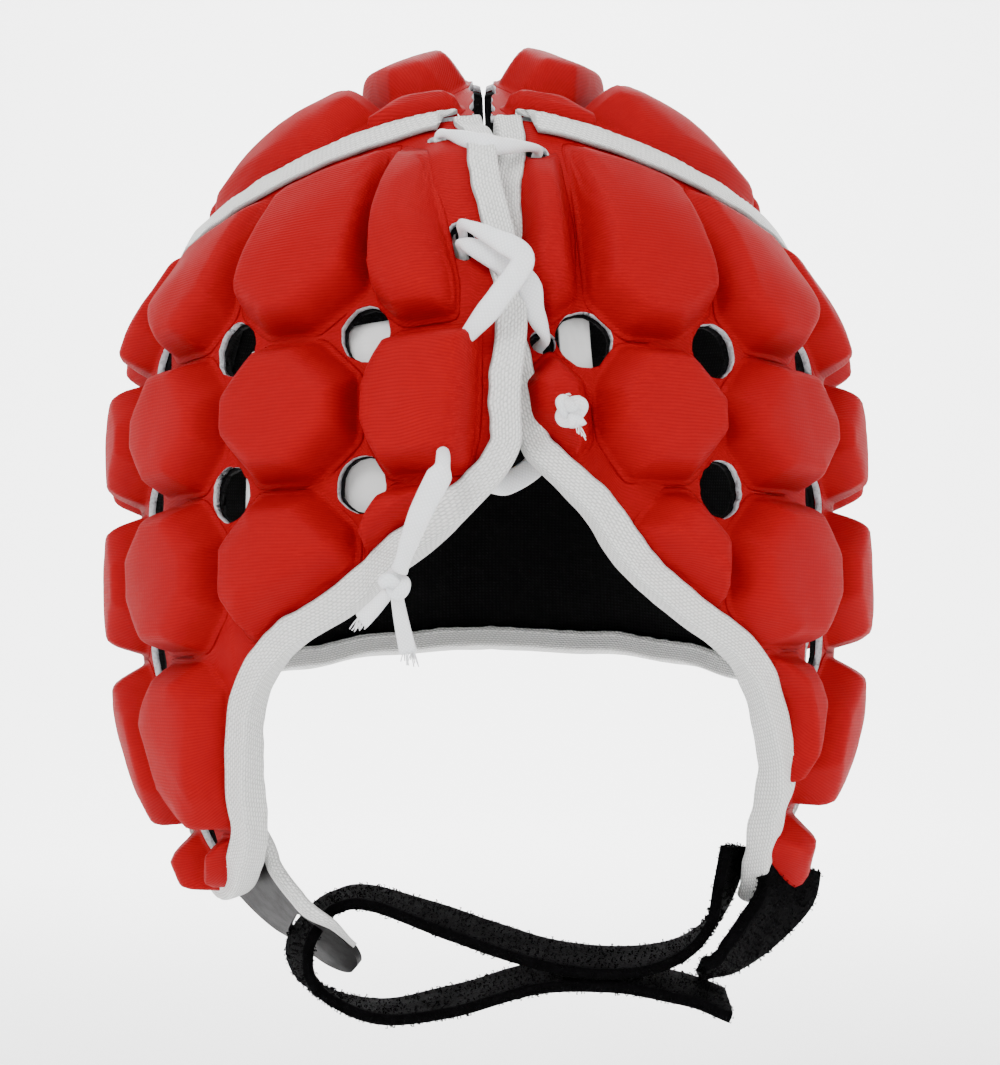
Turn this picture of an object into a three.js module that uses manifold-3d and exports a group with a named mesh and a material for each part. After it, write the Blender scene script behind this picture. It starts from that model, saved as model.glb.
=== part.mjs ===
// A padded rugby scrum cap: five foam panels with raised pads and round vents, black linings,
// white edge bindings and seam tapes, a laced front, a chin strap with its slotted tab, and blank labels.
// Millimetres, +Z up, the face looks towards -Y and the origin is where the crown of the head meets the ridge.
// "Right" and "left" are the wearer's. Azimuth is 0 at the front centre and 180 at the back, on either side.
// A drop is a height measured down from the origin.

import * as THREE from 'three';
import { mergeVertices } from 'three/addons/utils/BufferGeometryUtils.js';
import Module from 'manifold-3d';

// Driving dimensions of the hollow, measured inside the lining
const inside_width = 169;
const inside_front = 97;
const inside_back = 98;
const crown_to_flap = 202;
const seam_front_drop = 22;
const seam_side_drop = 40;
const seam_back_drop = 33;
const seam_bend = 2.8;

// Make-up of a panel, from the head outwards
const lining_thickness = 1;
const layer_gap = 0.3;
const web_thickness = 1.6;
const pad_rise = 8.5;
const pad_shoulder = 2.4;
const shoulder_share = 0.8;
const full_pad_radius = 10;
const pad_root = 0.7;

// Pads and vents
const groove_width = 2.6;
const corner_cut = 8.2;
const vent_diameter = 12.4;
const pad_edge_margin = 7.2;
const smallest_pad = 55;
const crown_pad_length = 37;

// Bindings and tapes
const tape_thickness = 1;
const binding_depth = 4.6;
const binding_slack = 0.55;
const lining_slack = 1.35;
const seam_tape_width = 8;
const seam_clearance = 0.6;
const tape_gap = 0.5;
const back_seam_azimuth = 118;

// The front edges, where the right panel laps over the left
const front_lap = 6.3;
const lap_height = 8.2;
const slot_half_width = 2.3;
const slot_end = -22;

// Lace
const lace_diameter = 3.4;
const eyelet_diameter = 5.8;

// Chin strap, its pile patch and slotted tab
const strap_width = 20;
const strap_thickness = 2.6;
const pile_width = 24;
const pile_thickness = 3.2;
const tab_width = 29;
const tab_thickness = 1.8;
const slot_length = 7;
const slot_margin = 0.9;
const trim_width = 4.6;
const trim_thickness = 2.6;
const trim_gap = 0.5;
const knot_diameter = 8;

// Labels
const label_thickness = 0.5;
const label_gap = 1.2;

// Mesh fineness
const wall_steps_high = 7;
const back_steps_high = 5;
const crown_steps_high = 4;
const vent_sides = 6;
const simplify_by = 0.16;
const lace_sides = 8;
const lace_steps = 76;
const strap_steps = 40;

const lining_face = lining_thickness;
const web_inner = lining_thickness + layer_gap;
const web_outer = web_inner + web_thickness;
const pad_top = web_outer + pad_rise;

// Cross-sections of the hollow. drop is a share of crown_to_flap, and the rest are shares of the half width,
// the front reach and the back reach.
const sections = [
  { drop: 0.0, half: 0.3, front: 0.5, back: 0.4 },
  { drop: 0.07, half: 0.53, front: 0.66, back: 0.56 },
  { drop: 0.11, half: 0.67, front: 0.735, back: 0.66 },
  { drop: 0.15, half: 0.77, front: 0.8, back: 0.75 },
  { drop: 0.2, half: 0.86, front: 0.865, back: 0.83 },
  { drop: 0.25, half: 0.915, front: 0.91, back: 0.89 },
  { drop: 0.325, half: 0.965, front: 0.955, back: 0.95 },
  { drop: 0.445, half: 0.99, front: 0.99, back: 0.995 },
  { drop: 0.625, half: 1.0, front: 0.99, back: 0.98 },
  { drop: 0.735, half: 0.975, front: 0.95, back: 0.94 },
  { drop: 0.82, half: 0.925, front: 0.91, back: 0.9 },
  { drop: 0.89, half: 0.845, front: 0.87, back: 0.86 },
  { drop: 1.0, half: 0.75, front: 0.82, back: 0.82 },
  { drop: 1.1, half: 0.69, front: 0.78, back: 0.78 },
];

// What differs between the two sides. columns are the azimuths between pads, in degrees. rows are the drops
// between pads and lower_edge holds drops, as shares of crown_to_flap. free_edge is how far the front edge
// lies towards the wearer's left of the centre line, as shares of front_lap.
const side_right = {
  name: 'right',
  x: -1,
  lap: 1,
  columns: [17.5, 40, 63, 82, 100],
  rows: [0.36, 0.518, 0.69, 0.885],
  front_margin: 7.8,
  free_edge: [
    { drop: 0.09, shift: -0.3 },
    { drop: 0.14, shift: -0.02 },
    { drop: 0.17, shift: 0.15 },
    { drop: 0.22, shift: 0.42 },
    { drop: 0.29, shift: 0.84 },
    { drop: 0.325, shift: 1.0 },
    { drop: 0.4, shift: 0.96 },
    { drop: 0.475, shift: 0.86 },
    { drop: 0.5, shift: 0.73 },
    { drop: 0.56, shift: 0.6 },
  ],
  lower_edge: [
    { azimuth: 0, drop: 0.492 },
    { azimuth: 2.5, drop: 0.526 },
    { azimuth: 7, drop: 0.568 },
    { azimuth: 12, drop: 0.6 },
    { azimuth: 17, drop: 0.626 },
    { azimuth: 23, drop: 0.655 },
    { azimuth: 30, drop: 0.683 },
    { azimuth: 34.5, drop: 0.71 },
    { azimuth: 38, drop: 0.745 },
    { azimuth: 41, drop: 0.79 },
    { azimuth: 43.5, drop: 0.84 },
    { azimuth: 47, drop: 0.89 },
    { azimuth: 51.5, drop: 0.935 },
    { azimuth: 58, drop: 0.985 },
    { azimuth: 65, drop: 1.02 },
    { azimuth: 71, drop: 1.025 },
    { azimuth: 77, drop: 1.005 },
    { azimuth: 82, drop: 0.96 },
    { azimuth: 86, drop: 0.91 },
    { azimuth: 90, drop: 0.86 },
    { azimuth: 96, drop: 0.812 },
    { azimuth: 105, drop: 0.765 },
    { azimuth: 118, drop: 0.722 },
  ],
};
const side_left = {
  name: 'left',
  x: 1,
  lap: 0,
  columns: [13, 36, 61, 81, 100],
  rows: [0.37, 0.52, 0.69, 0.868],
  front_margin: 7.8,
  free_edge: [
    { drop: 0.09, shift: 0.55 },
    { drop: 0.14, shift: 0.62 },
    { drop: 0.17, shift: 0.66 },
    { drop: 0.25, shift: 0.66 },
    { drop: 0.3, shift: 0.62 },
    { drop: 0.365, shift: 0.7 },
    { drop: 0.4, shift: 0.9 },
    { drop: 0.44, shift: 1.1 },
    { drop: 0.475, shift: 1.35 },
    { drop: 0.5, shift: 1.5 },
    { drop: 0.56, shift: 1.7 },
  ],
  lower_edge: [
    { azimuth: 0, drop: 0.488 },
    { azimuth: 3, drop: 0.508 },
    { azimuth: 7, drop: 0.53 },
    { azimuth: 12, drop: 0.55 },
    { azimuth: 17, drop: 0.585 },
    { azimuth: 23, drop: 0.622 },
    { azimuth: 30, drop: 0.655 },
    { azimuth: 37, drop: 0.684 },
    { azimuth: 43, drop: 0.716 },
    { azimuth: 48, drop: 0.755 },
    { azimuth: 53, drop: 0.8 },
    { azimuth: 57.5, drop: 0.845 },
    { azimuth: 62, drop: 0.89 },
    { azimuth: 67, drop: 0.94 },
    { azimuth: 73, drop: 0.98 },
    { azimuth: 79, drop: 0.985 },
    { azimuth: 84, drop: 0.955 },
    { azimuth: 88, drop: 0.905 },
    { azimuth: 92, drop: 0.855 },
    { azimuth: 97, drop: 0.81 },
    { azimuth: 105, drop: 0.765 },
    { azimuth: 118, drop: 0.722 },
  ],
};
const back_edge = [
  { azimuth: 118, drop: 0.722 },
  { azimuth: 140, drop: 0.69 },
  { azimuth: 160, drop: 0.67 },
  { azimuth: 180, drop: 0.662 },
];
const back_columns = [118, 138.5, 159.2, 180];
const crown_columns = [4, 36, 76, 112, 146, 176];
const crown_vent_diameter = 9.9;
// Crown vents stand between the pads, on a column. Where no rise is given, that is where the pads' rows meet.
const crown_vent_rises = [{ column: 1, rise: 0.5 }, { column: 2 }, { column: 3 }];

const { clamp, degToRad, lerp, smoothstep } = THREE.MathUtils;
const wasm = await Module();
wasm.setup();

// A smooth curve through a table's rows that never overshoots them.
function table_curve(rows, key, column) {
  const at = rows.map((row) => row[key]);
  const value = rows.map((row) => row[column]);
  const last = rows.length - 1;
  const secant = at.slice(1).map((x, i) => (value[i + 1] - value[i]) / (x - at[i]));
  const slope = at.map((_, i) => {
    const before = secant[Math.max(i - 1, 0)];
    const after = secant[Math.min(i, last - 1)];
    return before * after <= 0 ? 0 : (2 * before * after) / (before + after);
  });
  return (x) => {
    const wanted = clamp(x, at[0], at[last]);
    const i = Math.min(at.findLastIndex((known) => known <= wanted), last - 1);
    const width = at[i + 1] - at[i];
    const t = (wanted - at[i]) / width;
    const hermite_start = (1 + 2 * t) * (1 - t) ** 2;
    const hermite_end = t * t * (3 - 2 * t);
    return (
      value[i] * hermite_start +
      value[i + 1] * hermite_end +
      width * t * (1 - t) * (slope[i] * (1 - t) - slope[i + 1] * t)
    );
  };
}

const half_share = table_curve(sections, 'drop', 'half');
const front_share = table_curve(sections, 'drop', 'front');
const back_share = table_curve(sections, 'drop', 'back');

// A point on the hollow's wall.
function wall_point(x_sign, azimuth, drop) {
  const share = drop / crown_to_flap;
  const angle = degToRad(azimuth);
  const reach =
    Math.cos(angle) > 0 ? inside_front * front_share(share) : inside_back * back_share(share);
  const x = (x_sign * Math.sin(angle) * half_share(share) * inside_width) / 2;
  return new THREE.Vector3(x, -Math.cos(angle) * reach, -drop);
}

// The drop of the seam between walls and crown.
function seam_drop(azimuth) {
  const along = Math.abs(Math.cos(degToRad(azimuth))) ** seam_bend;
  const end = azimuth < 90 ? seam_front_drop : seam_back_drop;
  return lerp(seam_side_drop, end, along);
}

// A surface is a pair of functions: point(a, b) on the lining's inner face, and outwards from it.
function make_surface(point, outward_sign) {
  const step = 0.4;
  const normal = (a, b) => {
    const across = point(a + step, b).sub(point(a - step, b));
    const along = point(a, b + step).sub(point(a, b - step));
    return across.cross(along).normalize().multiplyScalar(outward_sign);
  };
  const at = (a, b, offset) => point(a, b).addScaledVector(normal(a, b), offset);
  return { point, normal, at };
}

// The side panels' wall: near the front it moves with the free edge, and on the lapping side it lifts.
const free_edge_reach = 24;
const lap_flat = 6;
const lap_end = 17;
function side_surface(side) {
  const shift = table_curve(side.free_edge, 'drop', 'shift');
  const point = (azimuth, drop) => {
    const share = drop / crown_to_flap;
    const near_front = 1 - smoothstep(azimuth, 0, free_edge_reach);
    const degrees_per_mm = 180 / Math.PI / ((half_share(share) * inside_width) / 2);
    const moved = side.x * shift(share) * front_lap * degrees_per_mm * near_front;
    const made = wall_point(side.x, azimuth + moved, drop);
    const lapped = smoothstep(share, 0.12, 0.175) * (1 - smoothstep(azimuth, lap_flat, lap_end));
    const away = new THREE.Vector3(made.x, made.y, 0).normalize();
    return made.addScaledVector(away, side.lap * lap_height * lapped);
  };
  return make_surface(point, -side.x);
}

// The back panel runs from one back seam round to the other. Its azimuth goes on past 180 on the left.
function back_point(azimuth, drop) {
  return azimuth <= 180 ? wall_point(-1, azimuth, drop) : wall_point(1, 360 - azimuth, drop);
}
const back_surface = make_surface(back_point, 1);

// A crown panel spans from the seam, at rise 0, to the ridge, at rise 1.
const crown_bulge = 7;
const ridge_bend = 2.6;
function crown_surface(side, wall) {
  const ridge_front = inside_front * front_share(seam_front_drop / crown_to_flap) - layer_gap;
  const ridge_back = inside_back * back_share(seam_back_drop / crown_to_flap) - layer_gap;
  const point = (azimuth, rise) => {
    const angle = degToRad(azimuth);
    const seam = wall.point(azimuth, seam_drop(azimuth));
    const end_drop = azimuth < 90 ? seam_front_drop : seam_back_drop;
    const reach = azimuth < 90 ? ridge_front : ridge_back;
    const ridge_drop = end_drop * Math.abs(Math.cos(angle)) ** ridge_bend;
    const along = -Math.cos(angle) * reach;
    const apart = lerp(slot_half_width, layer_gap / 2, smoothstep(along, slot_end - 8, slot_end));
    const ridge = new THREE.Vector3(side.x * apart, along, -ridge_drop);
    const swell = crown_bulge * 4 * rise * (1 - rise) * Math.sin(angle) ** 2;
    return seam.lerp(ridge, rise).add(new THREE.Vector3(0, 0, swell));
  };
  return make_surface(point, side.x);
}

// A closed geometry from rings of points, each ring as long as the others, with flat ends.
function loft(rings) {
  const count = rings[0].length;
  const positions = rings.flat().flatMap((p) => [p.x, p.y, p.z]);
  const index = [];
  for (let ring = 0; ring < rings.length - 1; ring++) {
    for (let i = 0; i < count; i++) {
      const a = ring * count + i;
      const b = ring * count + ((i + 1) % count);
      index.push(a, b, a + count, b, b + count, a + count);
    }
  }
  const end = (rings.length - 1) * count;
  const cap = THREE.ShapeUtils.triangulateShape(flatten(rings[0]), []);
  const far_cap = THREE.ShapeUtils.triangulateShape(flatten(rings.at(-1)), []);
  cap.forEach(([a, b, c]) => index.push(a, c, b));
  far_cap.forEach(([a, b, c]) => index.push(end + a, end + b, end + c));
  const made = new THREE.BufferGeometry();
  made.setAttribute('position', new THREE.Float32BufferAttribute(positions, 3));
  made.setIndex(index);
  return made;
}

// A ring's points seen along its own normal, for cutting its flat end into triangles.
function flatten(ring) {
  const centre = ring.reduce((sum, p) => sum.add(p), new THREE.Vector3()).divideScalar(ring.length);
  const normal = new THREE.Vector3();
  ring.forEach((p, i) => {
    const next = ring[(i + 1) % ring.length];
    normal.add(p.clone().sub(centre).cross(next.clone().sub(centre)));
  });
  normal.normalize();
  const across = ring[0].clone().sub(centre).projectOnPlane(normal).normalize();
  const up = normal.clone().cross(across);
  return ring.map((p) => {
    const from = p.clone().sub(centre);
    return new THREE.Vector2(from.dot(across), from.dot(up));
  });
}

// A three.js geometry as a manifold solid, and back.
function solid_of(geometry) {
  const bare = geometry.index ? geometry.toNonIndexed() : geometry.clone();
  Object.keys(bare.attributes).forEach((name) => name !== 'position' && bare.deleteAttribute(name));
  const merged = mergeVertices(bare, 1e-3);
  const mesh = new wasm.Mesh({
    numProp: 3,
    vertProperties: merged.attributes.position.array,
    triVerts: new Uint32Array(merged.index.array),
  });
  const solid = new wasm.Manifold(mesh);
  if (solid.volume() >= 0) return solid;
  mesh.triVerts = mesh.triVerts.slice().reverse();
  return new wasm.Manifold(mesh);
}
function largest_body(solid) {
  return solid.decompose().reduce((best, body) => (body.volume() > best.volume() ? body : best));
}
function geometry_of(solid) {
  const mesh = largest_body(solid).asOriginal().simplify(simplify_by).getMesh();
  const made = new THREE.BufferGeometry();
  made.setAttribute('position', new THREE.BufferAttribute(mesh.vertProperties, 3));
  made.setIndex(new THREE.BufferAttribute(mesh.triVerts, 1));
  made.computeVertexNormals();
  return made;
}

// A closed sheet between two offsets of a surface. stations are lists of the points from edge to edge.
function sheet_solid(surface, stations, inner, outer) {
  const rings = stations.map((column) => {
    const near = column.map(([a, b]) => surface.at(a, b, inner));
    const far = column.map(([a, b]) => surface.at(a, b, outer)).reverse();
    return [...near, ...far];
  });
  return solid_of(sheet_loft(rings));
}

// Rings here are a column's near face and then its far face the other way round. Both faces are cut along the
// same diagonals, so that sheets lying on one another stay apart.
function sheet_loft(rings) {
  const count = rings[0].length;
  const half = count / 2;
  const made = new THREE.BufferGeometry();
  const index = [];
  for (let ring = 0; ring < rings.length - 1; ring++) {
    for (let i = 0; i < count; i++) {
      const a = ring * count + i;
      const b = ring * count + ((i + 1) % count);
      if (i < half) index.push(a, b, a + count, b, b + count, a + count);
      else index.push(a, b, b + count, a, b + count, a + count);
    }
  }
  const end = (rings.length - 1) * count;
  for (let i = 0; i < half - 1; i++) {
    const j = count - 1 - i;
    index.push(i, j, i + 1, i + 1, j, j - 1);
    index.push(end + i, end + i + 1, end + j, end + i + 1, end + j - 1, end + j);
  }
  const positions = rings.flat().flatMap((p) => [p.x, p.y, p.z]);
  made.setAttribute('position', new THREE.Float32BufferAttribute(positions, 3));
  made.setIndex(index);
  return made;
}

// The panel's polygons are in its surface's own coordinates. This gives how many millimetres one unit is.
function local_scale(surface, a, b) {
  const step = 0.01;
  return {
    a: surface.point(a + step, b).distanceTo(surface.point(a - step, b)) / (2 * step),
    b: surface.point(a, b + step).distanceTo(surface.point(a, b - step)) / (2 * step),
  };
}

// Keeps the part of a polygon where inside(a, b) is positive. The cut follows a curved edge with one more point.
function clip(polygon, inside) {
  const kept = [];
  const cuts = [];
  const cross_at = (p, q) => {
    let [low, high] = [0, 1];
    const sign = Math.sign(inside(...p));
    for (let i = 0; i < 24; i++) {
      const middle = (low + high) / 2;
      const value = inside(lerp(p[0], q[0], middle), lerp(p[1], q[1], middle));
      if (Math.sign(value) === sign) low = middle;
      else high = middle;
    }
    return [lerp(p[0], q[0], low), lerp(p[1], q[1], low)];
  };
  polygon.forEach((p, i) => {
    const q = polygon[(i + 1) % polygon.length];
    if (inside(...p) > 0) kept.push(p);
    if (inside(...p) > 0 !== inside(...q) > 0) {
      const cut = cross_at(p, q);
      cuts.push(kept.length);
      kept.push(cut);
    }
  });
  return cuts.length > 2 ? [] : kept;
}

function polygon_area(polygon, scale) {
  const sum = polygon.reduce((total, p, i) => {
    const q = polygon[(i + 1) % polygon.length];
    return total + p[0] * q[1] - q[0] * p[1];
  }, 0);
  return Math.abs(sum / 2) * scale.a * scale.b;
}

// A cell of the pad pattern as an eight-sided outline, with a groove left round it.
function cell_outline(surface, a0, a1, b0, b1, cuts) {
  const scale = local_scale(surface, (a0 + a1) / 2, (b0 + b1) / 2);
  const groove = [groove_width / 2 / scale.a, groove_width / 2 / scale.b];
  const cut = [corner_cut / scale.a, corner_cut / scale.b];
  const [left, right] = [a0 + groove[0], a1 - groove[0]];
  const [low, high] = [b0 + groove[1], b1 - groove[1]];
  const corner = (a, b, a_in, b_in, share) => [
    [a + a_in * cut[0] * share, b],
    [a, b + b_in * cut[1] * share],
  ];
  return [
    ...corner(left, low, 1, 1, cuts.low).reverse(),
    ...corner(right, low, -1, 1, cuts.low),
    ...corner(right, high, -1, -1, cuts.high).reverse(),
    ...corner(left, high, 1, -1, cuts.high),
  ];
}

// A raised pad over an outline: rooted in the web, with steep sides and a crowned top.
function pad_solid(surface, outline) {
  const middle = outline
    .reduce((sum, p) => [sum[0] + p[0], sum[1] + p[1]], [0, 0])
    .map((x) => x / outline.length);
  const scale = local_scale(surface, ...middle);
  const radius = Math.sqrt(polygon_area(outline, scale) / Math.PI);
  const ring = (inset, offset) => {
    const share = 1 - inset / radius;
    return outline.map(([a, b]) =>
      surface.at(lerp(middle[0], a, share), lerp(middle[1], b, share), offset),
    );
  };
  const rise = pad_rise * Math.min(1, radius / full_pad_radius);
  const rings = [ring(0, web_outer - pad_root), ring(pad_shoulder, web_outer + rise * shoulder_share)];
  const count = outline.length;
  const positions = rings.flat().flatMap((p) => [p.x, p.y, p.z]);
  const index = [];
  for (let level = 0; level < rings.length - 1; level++) {
    for (let i = 0; i < count; i++) {
      const a = level * count + i;
      const b = level * count + ((i + 1) % count);
      index.push(a, b, a + count, b, b + count, a + count);
    }
  }
  const root = surface.at(...middle, web_outer - pad_root + 0.3);
  const top = surface.at(...middle, web_outer + rise);
  positions.push(root.x, root.y, root.z, top.x, top.y, top.z);
  const root_index = rings.length * count;
  for (let i = 0; i < count; i++) {
    const next = (i + 1) % count;
    index.push(next, i, root_index);
    index.push((rings.length - 1) * count + i, (rings.length - 1) * count + next, root_index + 1);
  }
  const made = new THREE.BufferGeometry();
  made.setAttribute('position', new THREE.Float32BufferAttribute(positions, 3));
  made.setIndex(index);
  return solid_of(made);
}

// A round cutter that stands through the panel.
function round_cutter(surface, a, b, diameter, stretch = 1) {
  const made = new THREE.CylinderGeometry(diameter / 2, diameter / 2, 3 * pad_top, vent_sides);
  made.scale(1, 1, stretch);
  const basis = new THREE.Matrix4();
  const out = surface.normal(a, b);
  const down = new THREE.Vector3(0, 0, -1).projectOnPlane(out).normalize();
  basis.makeBasis(out.clone().cross(down).negate(), out, down);
  made.applyMatrix4(basis);
  const centre = surface.at(a, b, web_outer);
  made.translate(centre.x, centre.y, centre.z);
  return solid_of(made);
}

// Everything a panel is cut from: its lining and its padded foam, with the vents through both.
function make_panel(surface, stations, pads, vents) {
  const lining = sheet_solid(surface, stations, 0, lining_face);
  const web = sheet_solid(surface, stations, web_inner, web_outer);
  const head_side = sheet_solid(surface, stations, -4 * pad_root, web_inner - 0.05);
  const raised = pads.map((outline) => pad_solid(surface, outline).subtract(head_side));
  const padded = wasm.Manifold.union([web, ...raised]);
  const cutters = vents.map((vent) => round_cutter(surface, ...vent));
  const holes = cutters.length ? wasm.Manifold.union(cutters) : null;
  return {
    lining: holes ? lining.subtract(holes) : lining,
    foam: holes ? padded.subtract(holes) : padded,
  };
}

// Side panels
const side_stations_at = [0, 4, 8, 12, 17, 25, 32, 36.5, 40, 43, 46, 50, 54, 58.5, 63, 70, 77, 82, 87, 95, 107];
const side_azimuths = [...side_stations_at, back_seam_azimuth - 0.3];
const back_azimuths = [118.3, 130, 143, 155.5, 168, 180, 192, 204.5, 217, 230, 241.7];

function lower_drop_of(side) {
  const curve = table_curve(side.lower_edge, 'azimuth', 'drop');
  return (azimuth) => curve(azimuth) * crown_to_flap;
}

// Rows of a column lie closer together towards the crown, where the wall bends more.
function wall_column(azimuth, lower, steps) {
  const upper = seam_drop(azimuth > 180 ? 360 - azimuth : azimuth) + seam_clearance;
  return Array.from({ length: steps + 1 }, (_, i) => {
    const share = 1 - (1 - i / steps) ** 1.25;
    return [azimuth, lerp(lower, upper, share)];
  });
}

// How far inside a rim a point lies, in millimetres, for a rim given as a drop for each azimuth.
function inside_rim(surface, rim, sign) {
  return (azimuth, drop) => {
    const scale = local_scale(surface, azimuth, drop);
    const slope = (rim(azimuth + 0.5) - rim(azimuth - 0.5)) / scale.a;
    return (sign * (rim(azimuth) - drop)) / Math.hypot(1, slope);
  };
}

function side_pads(side, surface) {
  const lower = lower_drop_of(side);
  const rows = [0.03, ...side.rows, 1.1].map((share) => share * crown_to_flap);
  const columns = [0, ...side.columns, back_seam_azimuth];
  const from_lower = inside_rim(surface, lower, 1);
  const from_seam = (azimuth, drop) => drop - seam_drop(azimuth);
  const from_front = (a, b) => Math.sign(a) * surface.point(a, b).distanceTo(surface.point(0, b));
  const outlines = [];
  for (let row = 0; row < rows.length - 1; row++) {
    for (let column = 0; column < columns.length - 1; column++) {
      const [a0, a1] = [columns[column], columns[column + 1]];
      const cuts = { low: row === 0 ? 0.4 : 1, high: row === rows.length - 2 ? 0.3 : 1 };
      let outline = cell_outline(surface, a0, a1, rows[row], rows[row + 1], cuts);
      outline = clip(outline, (a, b) => from_seam(a, b) - seam_tape_width / 2 - 1.4);
      outline = clip(outline, (a, b) => from_lower(a, b) - pad_edge_margin);
      outline = clip(outline, (a, b) => from_front(a, b) - side.front_margin);
      outline = clip(outline, (a) => (back_seam_azimuth - a) * 1.8 - seam_tape_width / 2 - 1);
      const scale = local_scale(surface, a0, rows[row + 1]);
      if (outline.length > 3 && polygon_area(outline, scale) > smallest_pad) outlines.push(outline);
    }
  }
  return outlines;
}

function side_vents(side, surface) {
  const lower = lower_drop_of(side);
  const from_lower = inside_rim(surface, lower, 1);
  const found = [];
  side.rows.forEach((share) => {
    side.columns.forEach((azimuth) => {
      const drop = share * crown_to_flap;
      const clear = from_lower(azimuth, drop) > vent_diameter / 2 + pad_edge_margin;
      if (clear) found.push([azimuth, drop, vent_diameter]);
    });
  });
  return found;
}

// Eyelets, from the top down. stretch makes a round hole taller, for two passes of the lace.
const eyelets = {
  right: [
    { azimuth: 7.6, share: 0.146, stretch: 1 },
    { azimuth: 5.6, share: 0.272, stretch: 1.8 },
    { azimuth: 5.9, share: 0.384, stretch: 1 },
    { azimuth: 7, share: 0.487, stretch: 1 },
  ],
  left: [
    { azimuth: 7.3, share: 0.157, stretch: 1 },
    { azimuth: 5.6, share: 0.374, stretch: 1 },
    { azimuth: 5.8, share: 0.452, stretch: 1 },
  ],
};

const surfaces = { right: side_surface(side_right), left: side_surface(side_left) };
const panels = {};
[side_right, side_left].forEach((side) => {
  const surface = surfaces[side.name];
  const lower = lower_drop_of(side);
  const stations = side_azimuths.map((azimuth) => wall_column(azimuth, lower(azimuth), wall_steps_high));
  const eyelet_holes = eyelets[side.name].map(({ azimuth, share, stretch }) => [
    azimuth,
    share * crown_to_flap,
    eyelet_diameter,
    stretch,
  ]);
  const vents = [...side_vents(side, surface), ...eyelet_holes];
  panels['side_' + side.name] = make_panel(surface, stations, side_pads(side, surface), vents);
});

// Back panel
const back_curve = table_curve(back_edge, 'azimuth', 'drop');
const back_lower = (azimuth) => back_curve(azimuth > 180 ? 360 - azimuth : azimuth) * crown_to_flap;
const back_rows = [0.03, 0.36, 0.525, 1.0].map((share) => share * crown_to_flap);
const back_all_columns = [...back_columns, ...back_columns.slice(0, -1).reverse().map((a) => 360 - a)];
function back_pads() {
  const from_lower = inside_rim(back_surface, back_lower, 1);
  const outlines = [];
  for (let row = 0; row < back_rows.length - 1; row++) {
    for (let column = 0; column < back_all_columns.length - 1; column++) {
      const [a0, a1] = [back_all_columns[column], back_all_columns[column + 1]];
      const cuts = { low: row === 0 ? 0.4 : 1, high: row === back_rows.length - 2 ? 0.3 : 1 };
      let outline = cell_outline(back_surface, a0, a1, back_rows[row], back_rows[row + 1], cuts);
      const seam = (a) => seam_drop(a > 180 ? 360 - a : a);
      outline = clip(outline, (a, b) => b - seam(a) - seam_tape_width / 2 - 1.4);
      outline = clip(outline, (a, b) => from_lower(a, b) - pad_edge_margin);
      outline = clip(outline, (a) => (a - back_seam_azimuth) * 1.8 - seam_tape_width / 2 - 1);
      outline = clip(outline, (a) => (360 - back_seam_azimuth - a) * 1.8 - seam_tape_width / 2 - 1);
      outlines.push(outline);
    }
  }
  return outlines;
}
const back_vents = back_rows
  .slice(1, -1)
  .flatMap((drop) => back_all_columns.slice(1, -1).map((azimuth) => [azimuth, drop, vent_diameter]));
const back_stations = back_azimuths.map((azimuth) =>
  wall_column(azimuth, back_lower(azimuth), back_steps_high),
);
panels.back = make_panel(back_surface, back_stations, back_pads(), back_vents);

// Crown panels
const crown_azimuths = [4, 10, 18, 28, 39, 51, 63, 76, 90, 104, 117, 129, 141, 152, 162, 170, 176];
[side_right, side_left].forEach((side) => {
  const surface = crown_surface(side, surfaces[side.name]);
  const rib = (azimuth) => surface.point(azimuth, 0).distanceTo(surface.point(azimuth, 1));
  const stations = crown_azimuths.map((azimuth) => {
    const start = seam_clearance / rib(azimuth);
    return Array.from({ length: crown_steps_high + 1 }, (_, i) => [
      azimuth,
      lerp(start, 1, i / crown_steps_high),
    ]);
  });
  const middle = (azimuth) => Math.min(crown_pad_length / rib(azimuth), 0.94);
  const pads = [];
  for (let column = 0; column < crown_columns.length - 1; column++) {
    const [a0, a1] = [crown_columns[column], crown_columns[column + 1]];
    const centre = (a0 + a1) / 2;
    [
      [0, middle(centre)],
      [middle(centre), 1],
    ].forEach(([low, high]) => {
      let outline = cell_outline(surface, a0, a1, low, high, { low: 0.7, high: 0.9 });
      outline = clip(outline, (a, b) => b * rib(a) - seam_tape_width / 2 - 1.4);
      outline = clip(outline, (a, b) => (1 - b) * rib(a) - 4);
      const scale = local_scale(surface, centre, (low + high) / 2);
      const wide = outline.length > 3 && polygon_area(outline, scale) > 2 * smallest_pad;
      if (wide) pads.push(outline);
    });
  }
  const vents = crown_vent_rises.map((row) => [
    crown_columns[row.column],
    row.rise ?? middle(crown_columns[row.column]),
    crown_vent_diameter,
  ]);
  panels['crown_' + side.name] = make_panel(surface, stations, pads, vents);
});

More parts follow.
